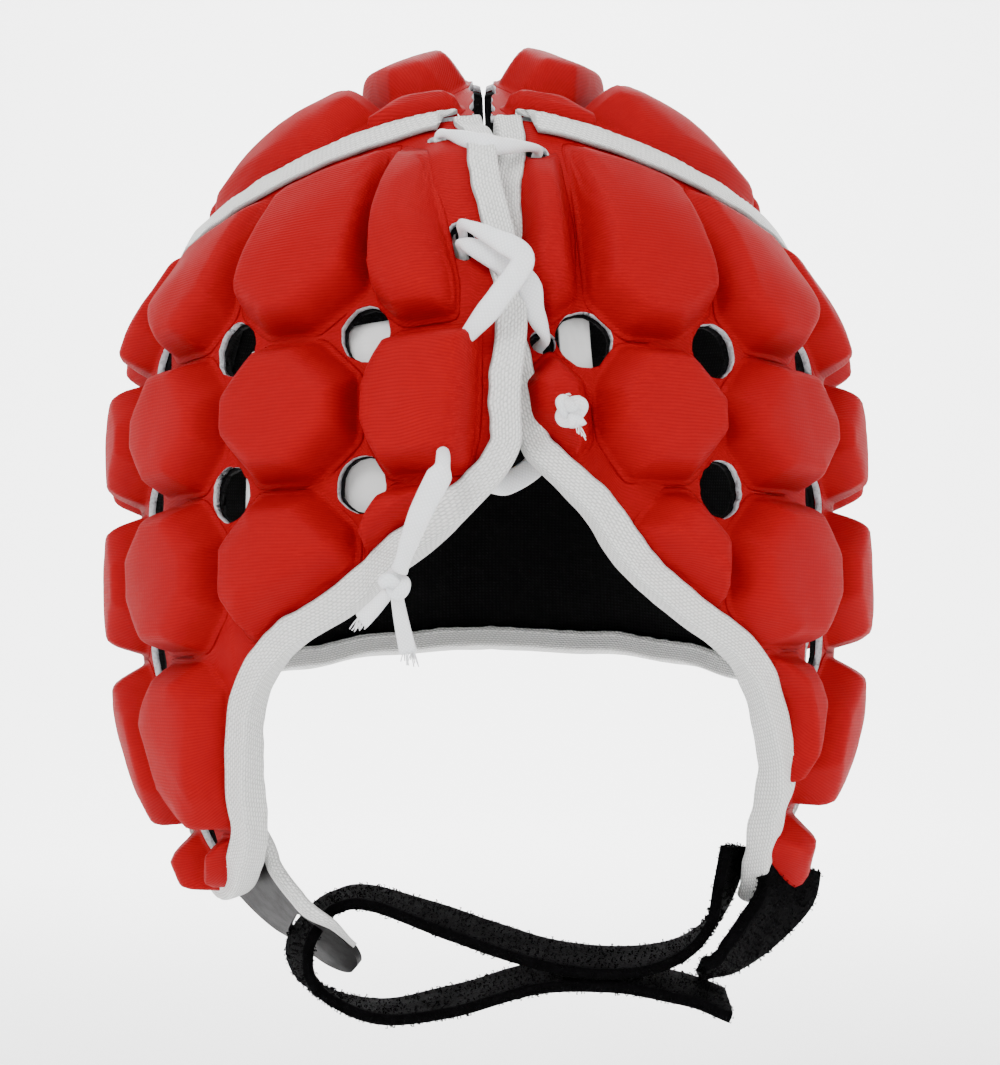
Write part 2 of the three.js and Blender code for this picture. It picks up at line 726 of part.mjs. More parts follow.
// Bindings fold over an edge. path is a list of [a, b] along the edge, with the panel on its left as seen
// from outside when turn is 1.
function binding_solid(surface, path, turn) {
  const near = -lining_slack;
  const far = web_outer + binding_slack;
  const lip = binding_slack + tape_thickness;
  const section = [
    [-binding_depth, far + tape_thickness],
    [lip - 0.5, far + tape_thickness],
    [lip, far + tape_thickness - 0.5],
    [lip, near - tape_thickness + 0.5],
    [lip - 0.5, near - tape_thickness],
    [-binding_depth, near - tape_thickness],
    [-binding_depth, near],
    [binding_slack, near],
    [binding_slack, far],
    [-binding_depth, far],
  ];
  const points = path.map(([a, b]) => surface.point(a, b));
  const rings = path.map(([a, b], i) => {
    const back = points[Math.max(i - 1, 0)];
    const ahead = points[Math.min(i + 1, points.length - 1)];
    const along = ahead.clone().sub(back).normalize();
    const out = surface.normal(a, b);
    const away = out.clone().cross(along).multiplyScalar(turn).normalize();
    const [da, db] = surface_step(surface, a, b, away);
    return section.map(([across, offset]) =>
      across < 0
        ? surface.at(a + da * across, b + db * across, offset)
        : points[i].clone().addScaledVector(away, across).addScaledVector(out, offset),
    );
  });
  return solid_of(loft(rings));
}

// The change of a and b that moves a point on the surface by one millimetre in a direction.
function surface_step(surface, a, b, direction) {
  const step = 0.2;
  const da = surface.point(a + step, b).sub(surface.point(a - step, b)).divideScalar(2 * step);
  const db = surface.point(a, b + step).sub(surface.point(a, b - step)).divideScalar(2 * step);
  const [aa, ab, bb] = [da.dot(da), da.dot(db), db.dot(db)];
  const [wanted_a, wanted_b] = [da.dot(direction), db.dot(direction)];
  const scale = aa * bb - ab * ab;
  return [(wanted_a * bb - wanted_b * ab) / scale, (wanted_b * aa - wanted_a * ab) / scale];
}

// A flat tape over the seam between two surfaces that meet at an angle.
function seam_tape_solid(stations) {
  const rings = stations.map(({ low, low_normal, seam, high, high_normal }) => {
    const middle = low_normal.clone().add(high_normal).normalize();
    const mitre = 1 / middle.dot(low_normal);
    const near = web_outer + tape_gap;
    const face = (offset) => [
      low.clone().addScaledVector(low_normal, offset),
      seam.clone().addScaledVector(middle, offset * mitre),
      high.clone().addScaledVector(high_normal, offset),
    ];
    return [...face(near), ...face(near + tape_thickness).reverse()];
  });
  return solid_of(loft(rings));
}

// A row's place: side is a share of half the inside width, front of the front reach, drop of crown_to_flap.
function place_of({ side, front, drop }) {
  return new THREE.Vector3((side * inside_width) / 2, -front * inside_front, -drop * crown_to_flap);
}

// A band through rows of places and turn, the angle of its width from +Y towards +X.
function band_rings(rows, steps) {
  const curve = new THREE.CatmullRomCurve3(rows.map(place_of));
  return Array.from({ length: steps + 1 }, (_, i) => {
    const t = i / steps;
    const place = t * (rows.length - 1);
    const row = Math.min(Math.floor(place), rows.length - 2);
    const turn = degToRad(lerp(rows[row].turn, rows[row + 1].turn, place - row));
    const centre = curve.getPoint(t);
    const along = curve.getTangent(t);
    const up = along.clone().cross(new THREE.Vector3(Math.sin(turn), Math.cos(turn), 0)).normalize();
    const wide = up.clone().cross(along).normalize();
    return { centre, along, up, wide };
  });
}
function band_solid(rows, steps, width, thickness) {
  const rings = band_rings(rows, steps).map(({ centre, up, wide }) =>
    [
      [-1, -1],
      [1, -1],
      [1, 1],
      [-1, 1],
    ].map(([across, over]) =>
      centre
        .clone()
        .addScaledVector(wide, (across * width) / 2)
        .addScaledVector(up, (over * thickness) / 2),
    ),
  );
  return solid_of(loft(rings));
}

// Bindings along the side panels' free edges and the back panel's lower edge
function side_edge_path(side) {
  const lower = lower_drop_of(side);
  const [, ...front] = wall_column(0, lower(0), wall_steps_high);
  return [...front.reverse(), ...side_azimuths.map((azimuth) => [azimuth, lower(azimuth)])];
}
const back_edge_path = back_azimuths.map((azimuth) => {
  const trimmed = clamp(azimuth, back_seam_azimuth + 1, 359 - back_seam_azimuth);
  return [trimmed, back_lower(trimmed)];
});

// Tapes over the crown seam and over the seams between side and back panels
const crown_tape_from = 9;
function crown_tape_stations(side) {
  const wall = surfaces[side.name];
  const crown = crown_surface(side, wall);
  const half = seam_tape_width / 2;
  const between = crown_azimuths.filter((a) => a > crown_tape_from && a < 180 - crown_tape_from);
  const azimuths = [crown_tape_from, ...between, 180 - crown_tape_from];
  return azimuths.map((azimuth) => {
    const drop = seam_drop(azimuth);
    const rise = half / crown.point(azimuth, 0).distanceTo(crown.point(azimuth, 1));
    return {
      low: wall.point(azimuth, drop + half),
      low_normal: wall.normal(azimuth, drop + half),
      seam: wall.point(azimuth, drop),
      high: crown.point(azimuth, rise),
      high_normal: crown.normal(azimuth, rise),
    };
  });
}
function back_tape_stations(side) {
  const wall = surfaces[side.name];
  const lower = lower_drop_of(side)(back_seam_azimuth);
  const top = seam_drop(back_seam_azimuth) + seam_tape_width / 2 + 1;
  const bottom = lower - binding_depth - 1;
  const half = seam_tape_width / 2 / 1.55;
  const steps = wall_steps_high;
  return Array.from({ length: steps + 1 }, (_, i) => {
    const drop = lerp(top, bottom, i / steps);
    const at = (azimuth) => [wall.point(azimuth, drop), wall.normal(azimuth, drop)];
    const [low, low_normal] = at(back_seam_azimuth - half);
    const [high, high_normal] = at(back_seam_azimuth + half);
    return { low, low_normal, seam: wall.point(back_seam_azimuth, drop), high, high_normal };
  });
}

// Labels lie on the linings' inner faces. from and to are azimuths; the rest are shares of crown_to_flap.
const labels = [
  { name: 'care_label', side: 'right', from: 14, to: 40, top: 0.347, bottom: 0.555, lean: 0.02 },
  { name: 'size_label', side: 'left', from: 9.5, to: 15.5, top: 0.317, bottom: 0.416, lean: 0 },
];
function label_solid({ side, from, to, top, bottom, lean }) {
  const stations = Array.from({ length: 5 }, (_, i) => {
    const azimuth = lerp(from, to, i / 4);
    const slide = lean * (i / 4 - 0.5);
    return Array.from({ length: 4 }, (__, j) => [
      azimuth,
      (lerp(bottom, top, j / 3) + slide) * crown_to_flap,
    ]);
  });
  return sheet_solid(surfaces[side], stations, -label_gap - label_thickness, -label_gap);
}

// The lace runs in and out of the eyelets as one cord, from the knot on the loose tail to the knot on the left.
// pass gives a panel and an eyelet's number, and slide moves it up or down in that eyelet.
const lace_inside = -4.6;
const lace_outside = 9.6;
const lace_route = [
  { side: -0.206, front: 1.139, drop: 0.612 },
  { side: -0.182, front: 1.18, drop: 0.587 },
  { side: -0.147, front: 1.216, drop: 0.554 },
  { side: -0.102, front: 1.222, drop: 0.517 },
  { pass: 'right', number: 3, inwards: true, slide: 0 },
  { side: 0.024, front: 0.912, drop: 0.517 },
  { side: 0.135, front: 0.881, drop: 0.49 },
  { side: 0.166, front: 0.866, drop: 0.431 },
  { pass: 'left', number: 1, inwards: false, slide: 0 },
  { side: 0.13, front: 1.108, drop: 0.344 },
  { side: 0.095, front: 1.098, drop: 0.314 },
  { pass: 'right', number: 1, inwards: true, slide: -1.95 },
  { side: -0.095, front: 0.856, drop: 0.233 },
  { pass: 'right', number: 0, inwards: false, slide: 0 },
  { side: 0.024, front: 0.969, drop: 0.161 },
  { pass: 'left', number: 0, inwards: true, slide: 0 },
  { side: 0.059, front: 0.763, drop: 0.208 },
  { pass: 'right', number: 1, inwards: false, slide: 1.95 },
  { side: 0.053, front: 1.149, drop: 0.282 },
  { side: 0.097, front: 1.155, drop: 0.302 },
  { side: 0.041, front: 1.149, drop: 0.339 },
  { pass: 'right', number: 2, inwards: true, slide: 0 },
  { side: 0.083, front: 0.912, drop: 0.431 },
  { pass: 'left', number: 2, inwards: false, slide: 0 },
];
function eyelet_pass({ pass, number, inwards, slide }) {
  const { azimuth, share } = eyelets[pass][number];
  const offsets = [lace_outside, web_outer / 2, lace_inside];
  const ordered = inwards ? offsets : offsets.reverse();
  return ordered.map((offset) => {
    const at = surfaces[pass].at(azimuth, share * crown_to_flap, offset);
    return at.add(new THREE.Vector3(0, 0, slide));
  });
}
const lace_points = lace_route.flatMap((row) =>
  row.pass ? eyelet_pass(row) : [place_of(row)],
);
function lace_solid() {
  const round = new THREE.Shape();
  round.absarc(0, 0, lace_diameter / 2, 0, 2 * Math.PI);
  const path = new THREE.CatmullRomCurve3(lace_points, false, 'centripetal');
  const section = new THREE.Shape(round.getSpacedPoints(lace_sides).slice(0, lace_sides));
  return solid_of(new THREE.ExtrudeGeometry(section, { steps: lace_steps, extrudePath: path }));
}
function knot_solid(end, before) {
  const ball = new THREE.SphereGeometry(knot_diameter / 2, 8, 6);
  const away = end.clone().sub(before).normalize();
  const centre = end.clone().addScaledVector(away, knot_diameter / 2 + layer_gap);
  ball.scale(1, 1, 1.15);
  ball.translate(centre.x, centre.y, centre.z);
  return solid_of(ball);
}

// The chin strap starts inside the left flap, turns round the tab's end bar and lies back on itself.
const strap_rows = [
  { side: 0.693, front: 0.268, drop: 0.921, turn: 20 },
  { side: 0.667, front: 0.268, drop: 0.965, turn: 18 },
  { side: 0.621, front: 0.273, drop: 1.01, turn: 12 },
  { side: 0.521, front: 0.284, drop: 1.042, turn: 6 },
  { side: 0.355, front: 0.299, drop: 1.054, turn: 0 },
  { side: 0.142, front: 0.314, drop: 1.042, turn: 0 },
  { side: -0.118, front: 0.325, drop: 1.005, turn: 0 },
  { side: -0.331, front: 0.325, drop: 0.975, turn: -4 },
  { side: -0.438, front: 0.32, drop: 0.98, turn: -8 },
  { side: -0.509, front: 0.32, drop: 1.007, turn: -8 },
  { side: -0.54, front: 0.32, drop: 1.037, turn: -8 },
  { side: -0.515, front: 0.32, drop: 1.069, turn: -6 },
  { side: -0.426, front: 0.323, drop: 1.094, turn: -4 },
  { side: -0.284, front: 0.326, drop: 1.106, turn: 0 },
  { side: -0.095, front: 0.32, drop: 1.094, turn: 0 },
  { side: 0.142, front: 0.309, drop: 1.07, turn: 0 },
  { side: 0.355, front: 0.294, drop: 1.072, turn: 0 },
  { side: 0.544, front: 0.284, drop: 1.087, turn: 4 },
  { side: 0.663, front: 0.278, drop: 1.106, turn: 6 },
];
const pile_rows = [
  { side: 0.854, front: 0.253, drop: 0.943, turn: 20 },
  { side: 0.832, front: 0.26, drop: 0.98, turn: 18 },
  { side: 0.751, front: 0.268, drop: 1.022, turn: 14 },
  { side: 0.663, front: 0.278, drop: 1.052, turn: 10 },
  { side: 0.592, front: 0.284, drop: 1.066, turn: 8 },
];

// The tab hangs from inside the right flap. Its slot takes the strap.
const tab_rows = [
  { side: -0.665, front: 0.304, drop: 0.923, turn: -18 },
  { side: -0.627, front: 0.311, drop: 0.96, turn: -12 },
  { side: -0.556, front: 0.318, drop: 0.995, turn: -8 },
  { side: -0.473, front: 0.32, drop: 1.023, turn: -8 },
  { side: -0.379, front: 0.32, drop: 1.054, turn: -8 },
];
const tab_steps = 10;
const slot_place = { side: -0.528, front: 0.32, drop: 1.013 };
function tab_solid() {
  const plate = band_solid(tab_rows, tab_steps, tab_width, tab_thickness);
  const slot = new THREE.BoxGeometry(slot_length, strap_width + 2 * slot_margin, 6 * tab_thickness);
  const [before, after] = [tab_rows[2], tab_rows[3]].map(place_of);
  slot.rotateY(Math.atan2(before.z - after.z, after.x - before.x));
  slot.rotateZ(degToRad(-tab_rows[2].turn));
  slot.translate(...place_of(slot_place));
  return plate.subtract(solid_of(slot));
}
function tab_trim_rows() {
  const shift = -(tab_width + trim_thickness) / 2 - trim_gap;
  return tab_rows.slice(2).map((row) => {
    const turn = degToRad(row.turn);
    const side = row.side + (Math.sin(turn) * shift * 2) / inside_width;
    return { ...row, side, front: row.front - (Math.cos(turn) * shift) / inside_front };
  });
}

const cap = new THREE.Group();
const materials = {
  red_fabric: new THREE.MeshStandardMaterial({ color: 0xd31a1c, roughness: 0.75, metalness: 0 }),
  black_lining: new THREE.MeshStandardMaterial({ color: 0x0c0c0d, roughness: 0.9, metalness: 0 }),
  white_tape: new THREE.MeshStandardMaterial({ color: 0xe9e9e6, roughness: 0.85, metalness: 0 }),
  white_lace: new THREE.MeshStandardMaterial({ color: 0xf0f0ef, roughness: 0.6, metalness: 0 }),
  black_strap: new THREE.MeshStandardMaterial({ color: 0x0b0b0c, roughness: 0.95, metalness: 0 }),
  grey_tab: new THREE.MeshStandardMaterial({ color: 0x3a3638, roughness: 0.5, metalness: 0 }),
  label_cloth: new THREE.MeshStandardMaterial({ color: 0xdedfdd, roughness: 0.7, metalness: 0 }),
};
function add(name, solid, material) {
  const mesh = new THREE.Mesh(geometry_of(solid), materials[material].clone());
  mesh.name = name;
  cap.add(mesh);
}
Object.entries(panels).forEach(([name, panel]) => {
  add(name + '_panel', panel.foam, 'red_fabric');
  add(name + '_lining', panel.lining, 'black_lining');
});
[side_right, side_left].forEach((side) => {
  const surface = surfaces[side.name];
  add('edge_binding_' + side.name, binding_solid(surface, side_edge_path(side), -side.x), 'white_tape');
  add('crown_tape_' + side.name, seam_tape_solid(crown_tape_stations(side)), 'white_tape');
  add('back_tape_' + side.name, seam_tape_solid(back_tape_stations(side)), 'white_tape');
});
add('nape_binding', binding_solid(back_surface, back_edge_path, 1), 'white_tape');
labels.forEach((label) => add(label.name, label_solid(label), 'label_cloth'));
add('lace', lace_solid(), 'white_lace');
add('lace_knot_right', knot_solid(lace_points[0], lace_points[1]), 'white_lace');
add('lace_knot_left', knot_solid(lace_points.at(-1), lace_points.at(-2)), 'white_lace');
add('chin_strap', band_solid(strap_rows, strap_steps, strap_width, strap_thickness), 'black_strap');
add('strap_pile', band_solid(pile_rows, 8, pile_width, pile_thickness), 'black_strap');
add('strap_tab', tab_solid(), 'grey_tab');
add('tab_trim', band_solid(tab_trim_rows(), tab_steps, trim_thickness, trim_width), 'white_tape');

export default cap;
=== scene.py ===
import math

import bpy
import numpy as np
from mathutils import Matrix, Vector


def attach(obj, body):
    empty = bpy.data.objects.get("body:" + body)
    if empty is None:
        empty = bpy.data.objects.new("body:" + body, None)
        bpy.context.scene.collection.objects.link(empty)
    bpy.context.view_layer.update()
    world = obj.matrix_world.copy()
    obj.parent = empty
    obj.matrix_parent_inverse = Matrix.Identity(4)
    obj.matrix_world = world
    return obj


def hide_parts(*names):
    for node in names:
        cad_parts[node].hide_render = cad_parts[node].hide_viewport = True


bl_info = {
    "name": "Scrum Cap",
    "version": (1, 0, 0),
    "blender": (4, 5, 0),
    "location": "View3D > Sidebar > Scrum Cap",
    "description": "Dresses a padded rugby scrum cap: foam panels, tapes, lace and chin strap",
    "category": "Object",
}

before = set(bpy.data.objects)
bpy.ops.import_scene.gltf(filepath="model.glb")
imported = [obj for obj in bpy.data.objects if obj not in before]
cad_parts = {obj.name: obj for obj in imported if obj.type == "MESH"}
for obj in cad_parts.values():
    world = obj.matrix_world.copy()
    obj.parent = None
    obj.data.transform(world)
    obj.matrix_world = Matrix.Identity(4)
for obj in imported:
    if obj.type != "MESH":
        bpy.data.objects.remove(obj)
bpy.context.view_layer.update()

# All lengths below are millimetres until a mesh is made. Azimuth is 0 at the front centre and 180 at the
# back, and a drop is measured down from the origin. "Right" and "left" are the wearer's.
MM = 0.001
HALF_WIDTH = 84.5
FRONT_REACH = 97.0
BACK_REACH = 98.0
CROWN_TO_FLAP = 202.0
SEAM_FRONT, SEAM_SIDE, SEAM_BACK, SEAM_BEND = 22.0, 40.0, 33.0, 2.8
LINING_OUTER = 1.0
WEB_INNER = 1.3
WEB_OUTER = 2.9
BACK_SEAM = 118.0
FRONT_LAP, LAP_HEIGHT = 6.3, 8.2
SLOT_HALF, SLOT_END, RIDGE_GAP = 2.3, -22.0, 0.15
RIDGE_BEND, CROWN_BULGE = 2.6, 7.0
SEAM_CLEARANCE = 0.6
TAPE_WIDTH = 8.0
BACK_SEAM_DEGREE = 1.55  # millimetres of wall for each degree of azimuth at the back seam
BACK_SEAM_GAP = 0.3  # degrees that each panel stops short of that seam

# Sections of the hollow: drop as a share of CROWN_TO_FLAP, then shares of the half width and both reaches.
SECTIONS = (
    (0.0, 0.3, 0.5, 0.4), (0.07, 0.53, 0.66, 0.56), (0.11, 0.67, 0.735, 0.66),
    (0.15, 0.77, 0.8, 0.75), (0.2, 0.86, 0.865, 0.83), (0.25, 0.915, 0.91, 0.89),
    (0.325, 0.965, 0.955, 0.95), (0.445, 0.99, 0.99, 0.995), (0.625, 1.0, 0.99, 0.98),
    (0.735, 0.975, 0.95, 0.94), (0.82, 0.925, 0.91, 0.9), (0.89, 0.845, 0.87, 0.86),
    (1.0, 0.75, 0.82, 0.82), (1.1, 0.69, 0.78, 0.78),
)

# Each side's free front edge (drop share, shift share) and lower edge (azimuth, drop share).
SIDES = {
    "right": dict(
        x=-1, lap=1, columns=(17.5, 40, 63, 82, 100), low_first=17.5, rows=(0.36, 0.518, 0.69, 0.885),
        free_edge=((0.09, -0.3), (0.14, -0.02), (0.17, 0.15), (0.22, 0.42), (0.29, 0.84),
                   (0.325, 1.0), (0.4, 0.96), (0.475, 0.86), (0.5, 0.73), (0.56, 0.6)),
        lower_edge=((0, 0.492), (2.5, 0.526), (7, 0.568), (12, 0.6), (17, 0.626), (23, 0.655),
                    (30, 0.683), (34.5, 0.71), (38, 0.745), (41, 0.79), (43.5, 0.84), (47, 0.89),
                    (51.5, 0.92), (58, 0.948), (65, 0.962), (71, 0.965), (77, 0.955), (82, 0.93),
                    (86, 0.895), (90, 0.86), (96, 0.812), (105, 0.765), (118, 0.722)),
    ),
    "left": dict(
        x=1, lap=0, columns=(13, 36, 61, 81, 100), low_first=19.5, rows=(0.37, 0.52, 0.69, 0.868),
        free_edge=((0.09, 0.55), (0.14, 0.62), (0.17, 0.66), (0.25, 0.66), (0.3, 0.62),
                   (0.365, 0.7), (0.4, 0.9), (0.44, 1.1), (0.475, 1.35), (0.5, 1.5), (0.56, 1.7)),
        lower_edge=((0, 0.488), (3, 0.508), (7, 0.53), (12, 0.55), (17, 0.585), (23, 0.622),
                    (30, 0.655), (37, 0.684), (43, 0.716), (48, 0.755), (53, 0.8), (57.5, 0.845),
                    (62, 0.89), (67, 0.94), (73, 0.98), (79, 0.985), (84, 0.955), (88, 0.905),
                    (92, 0.855), (97, 0.81), (105, 0.765), (118, 0.722)),
    ),
}
BACK_EDGE = ((118, 0.722), (140, 0.69), (160, 0.67), (180, 0.662))
BACK_COLUMNS = (118, 138.5, 159.2, 180, 200.8, 221.5, 242)
BACK_ROWS = (0.03, 0.36, 0.525, 1.0)
CROWN_COLUMNS = (4, 36, 76, 112, 146, 176)
CROWN_PAD_LENGTH = 37.0
VENT_RADIUS, CROWN_VENT_RADIUS, EYELET_RADIUS = 6.2, 4.9, 2.7
VENT_JAG, VENT_MARGIN = 0.16, 7.2  # how far a vent's edge strays, and how far it keeps off the lower edge

# Eyelets from the top down: azimuth, drop share, stretch.
EYELETS = {
    "right": ((7.6, 0.146, 1.0), (5.6, 0.272, 1.8), (5.9, 0.384, 1.0), (7, 0.487, 1.0)),
    "left": ((7.3, 0.157, 1.0), (5.6, 0.374, 1.0), (5.8, 0.452, 1.0)),
}

# The lace's way from its loose tail to the left knot. A row is a place as shares of the half width, front
# reach and CROWN_TO_FLAP, or a pass through an eyelet: side, number, whether it goes inwards, slide up.
LACE_ROUTE = (
    (-0.206, 1.139, 0.612), (-0.182, 1.18, 0.587), (-0.147, 1.216, 0.554), (-0.102, 1.222, 0.517),
    ("right", 3, True, 0), (0.024, 0.912, 0.517), (0.135, 0.881, 0.49), (0.166, 0.866, 0.431),
    ("left", 1, False, 0), (0.129, 1.06, 0.347), (0.108, 1.088, 0.317), ("right", 1, True, -1.95),
    (-0.095, 0.8, 0.233), ("right", 0, False, 0), (0.012, 0.93, 0.153), ("left", 0, True, 0),
    (0.059, 0.763, 0.208), ("right", 1, False, 1.95), (0.038, 1.13, 0.277), (0.097, 1.144, 0.297),
    (0.04, 1.142, 0.336), ("right", 2, True, 0), (0.083, 0.912, 0.431), ("left", 2, False, 0),
)
# How far from the lining the lace turns at an eyelet: inside, outside, at the top one and at the left knot.
LACE_INSIDE, LACE_OUTSIDE, LACE_TOP_OUTSIDE, LACE_KNOT_OUTSIDE = -4.6, 5.6, 3.7, 11.0
LACE_TURNS = {
    ("right", 0): LACE_TOP_OUTSIDE, ("left", 0): LACE_TOP_OUTSIDE, ("left", 2): LACE_KNOT_OUTSIDE,
}

# Bands: side, front, drop shares, turn (the angle of the band's width from +Y towards +X) and tilt (up).
STRAP_ROWS = (
    (0.693, 0.268, 0.921, 20, 0), (0.667, 0.268, 0.965, 18, 0), (0.621, 0.273, 1.01, 12, 2),
    (0.521, 0.284, 1.042, 6, 5), (0.355, 0.299, 1.054, 0, 9), (0.142, 0.314, 1.042, 0, 11),
    (-0.118, 0.325, 1.005, 0, 11), (-0.331, 0.325, 0.975, -8, 6), (-0.438, 0.32, 0.98, -14, 0),
    (-0.509, 0.32, 1.007, -16, 0), (-0.54, 0.32, 1.037, -18, 0), (-0.515, 0.32, 1.069, -16, 0),
    (-0.426, 0.323, 1.094, -10, 0), (-0.284, 0.326, 1.106, -4, 4), (-0.095, 0.32, 1.094, 0, 7),
    (0.142, 0.309, 1.07, 0, 8), (0.355, 0.294, 1.072, 0, 8), (0.544, 0.284, 1.087, 4, 8),
    (0.663, 0.278, 1.106, 6, 8),
)
PILE_ROWS = (
    (0.854, 0.253, 0.943, 42, 0), (0.832, 0.26, 0.98, 42, 0), (0.751, 0.268, 1.022, 38, 0),
    (0.663, 0.278, 1.052, 34, 0), (0.592, 0.284, 1.066, 30, 0),
)
TAB_ROWS = (
    (-0.71, 0.304, 0.915, -32, 0), (-0.657, 0.311, 0.955, -32, 0), (-0.572, 0.318, 0.993, -33, 0),
    (-0.473, 0.32, 1.023, -36, 0), (-0.379, 0.32, 1.054, -40, 0),
)
STRAP_WIDTH, STRAP_THICK = 20.0, 2.6
PILE_WIDTH, PILE_THICK = 24.0, 3.2
STRAP_LOOPS, PILE_LOOPS = 520000.0, 700000.0  # for each square metre
TAB_WIDTH, TAB_THICK = 29.0, 1.8
TAB_SLOT_LENGTH, TAB_SLOT_WIDTH, TAB_SLOT_PLACE = 7.0, 21.8, (-0.528, 0.32, 1.013)
TRIM_WIDTH, TRIM_THICK, TRIM_LENGTH, TRIM_STEPS = 3.6, 2.4, 64, 70  # its length as steps of the tab's
BAND_EDGE = 0.5


# ---- shapes ----------------------------------------------------------------------------------------------

def table_curve(rows, column):
    """A smooth curve through a table's first column and another one, which never overshoots its rows."""
    at = np.array([row[0] for row in rows], float)
    value = np.array([row[column] for row in rows], float)
    secant = np.diff(value) / np.diff(at)
    before = np.concatenate((secant[:1], secant))
    after = np.concatenate((secant, secant[-1:]))
    total = np.where(before + after == 0, 1, before + after)
    slope = np.where(before * after <= 0, 0, 2 * before * after / total)

    def curve(x):
        wanted = np.clip(x, at[0], at[-1])
        i = np.clip(np.searchsorted(at, wanted, side="right") - 1, 0, len(at) - 2)
        width = at[i + 1] - at[i]
        t = (wanted - at[i]) / width
        start, end = (1 + 2 * t) * (1 - t) ** 2, t * t * (3 - 2 * t)
        bend = width * t * (1 - t) * (slope[i] * (1 - t) - slope[i + 1] * t)
        return value[i] * start + value[i + 1] * end + bend

    return curve


def smoothstep(x, low, high):
    t = np.clip((np.asarray(x, float) - low) / (high - low), 0, 1)
    return t * t * (3 - 2 * t)


def lerp(a, b, t):
    return a + (b - a) * t


def unit(v):
    return v / np.maximum(np.linalg.norm(v, axis=-1, keepdims=True), 1e-9)


half_share, front_share, back_share = (table_curve(SECTIONS, i) for i in (1, 2, 3))


def wall_point(x_sign, azimuth, drop):
    share, angle = np.asarray(drop, float) / CROWN_TO_FLAP, np.radians(azimuth)
    reach = np.where(np.cos(angle) > 0, FRONT_REACH * front_share(share), BACK_REACH * back_share(share))
    x = x_sign * np.sin(angle) * half_share(share) * HALF_WIDTH
    return np.stack(np.broadcast_arrays(x, -np.cos(angle) * reach, -np.asarray(drop, float)), -1)


def seam_drop(azimuth):
    along = np.abs(np.cos(np.radians(azimuth))) ** SEAM_BEND
    return lerp(SEAM_SIDE, np.where(np.asarray(azimuth) < 90, SEAM_FRONT, SEAM_BACK), along)


class Surface:
    """A curved wall: point(a, b) lies on the lining's inner face, and at() lies outwards from it."""

    def __init__(self, point, outward):
        self.point, self.outward = point, outward

    def normal(self, a, b, step=0.4):
        across = self.point(a + step, b) - self.point(a - step, b)
        along = self.point(a, b + step) - self.point(a, b - step)
        return unit(np.cross(across, along)) * self.outward

    def at(self, a, b, offset):
        a, b = np.asarray(a, float), np.asarray(b, float)
        return self.point(a, b) + self.normal(a, b) * np.asarray(offset, float)[..., None]

    def scale(self, a, b, step=0.01):
        a_scale = np.linalg.norm(self.point(a + step, b) - self.point(a - step, b), axis=-1) / (2 * step)
        b_scale = np.linalg.norm(self.point(a, b + step) - self.point(a, b - step), axis=-1) / (2 * step)
        return a_scale, b_scale

    def step(self, a, b, direction, step=0.2):
        """The change of a and b that moves a point on the wall by one millimetre in a direction."""
        da = (self.point(a + step, b) - self.point(a - step, b)) / (2 * step)
        db = (self.point(a, b + step) - self.point(a, b - step)) / (2 * step)
        aa, ab, bb = (da * da).sum(-1), (da * db).sum(-1), (db * db).sum(-1)
        wa, wb = (da * direction).sum(-1), (db * direction).sum(-1)
        scale = aa * bb - ab * ab
        return (wa * bb - wb * ab) / scale, (wb * aa - wa * ab) / scale


def side_surface(side):
    shift = table_curve(side["free_edge"], 1)

    def point(azimuth, drop):
        share = np.asarray(drop, float) / CROWN_TO_FLAP
        near_front = 1 - smoothstep(azimuth, 0, 24)
        degrees = np.degrees(1 / (half_share(share) * HALF_WIDTH))
        shifted = azimuth + side["x"] * shift(share) * FRONT_LAP * degrees * near_front
        made = wall_point(side["x"], shifted, drop)
        lapped = smoothstep(share, 0.12, 0.175) * (1 - smoothstep(azimuth, 6, 17))
        away = unit(made * (1, 1, 0))
        return made + away * (side["lap"] * LAP_HEIGHT * lapped)[..., None]

    return Surface(point, -side["x"])


def back_point(azimuth, drop):
    azimuth = np.asarray(azimuth, float)
    x_sign = np.where(azimuth <= 180, -1, 1)
    return wall_point(x_sign, np.where(azimuth <= 180, azimuth, 360 - azimuth), drop)


def crown_surface(side, wall):
    ridge_front = FRONT_REACH * front_share(SEAM_FRONT / CROWN_TO_FLAP) - 2 * RIDGE_GAP
    ridge_back = BACK_REACH * back_share(SEAM_BACK / CROWN_TO_FLAP) - 2 * RIDGE_GAP

    def point(azimuth, rise):
        azimuth, rise = np.broadcast_arrays(np.asarray(azimuth, float), np.asarray(rise, float))
        cosine, front = np.cos(np.radians(azimuth)), azimuth < 90
        seam = wall.point(azimuth, seam_drop(azimuth))
        ridge_drop = np.where(front, SEAM_FRONT, SEAM_BACK) * np.abs(cosine) ** RIDGE_BEND
        along = -cosine * np.where(front, ridge_front, ridge_back)
        apart = lerp(SLOT_HALF, RIDGE_GAP, smoothstep(along, SLOT_END - 8, SLOT_END))
        ridge = np.stack((side["x"] * apart, along, -ridge_drop), -1)
        swell = CROWN_BULGE * 4 * rise * (1 - rise) * np.sin(np.radians(azimuth)) ** 2
        return lerp(seam, ridge, rise[..., None]) + swell[..., None] * np.array((0, 0, 1.0))

    return Surface(point, side["x"])


WALLS = {name: side_surface(side) for name, side in SIDES.items()}
CROWNS = {name: crown_surface(side, WALLS[name]) for name, side in SIDES.items()}
BACK = Surface(back_point, 1)
LOWER = {name: table_curve(side["lower_edge"], 1) for name, side in SIDES.items()}
back_lower_share = table_curve(BACK_EDGE, 1)


def lower_of(name):
    return lambda azimuth: LOWER[name](azimuth) * CROWN_TO_FLAP


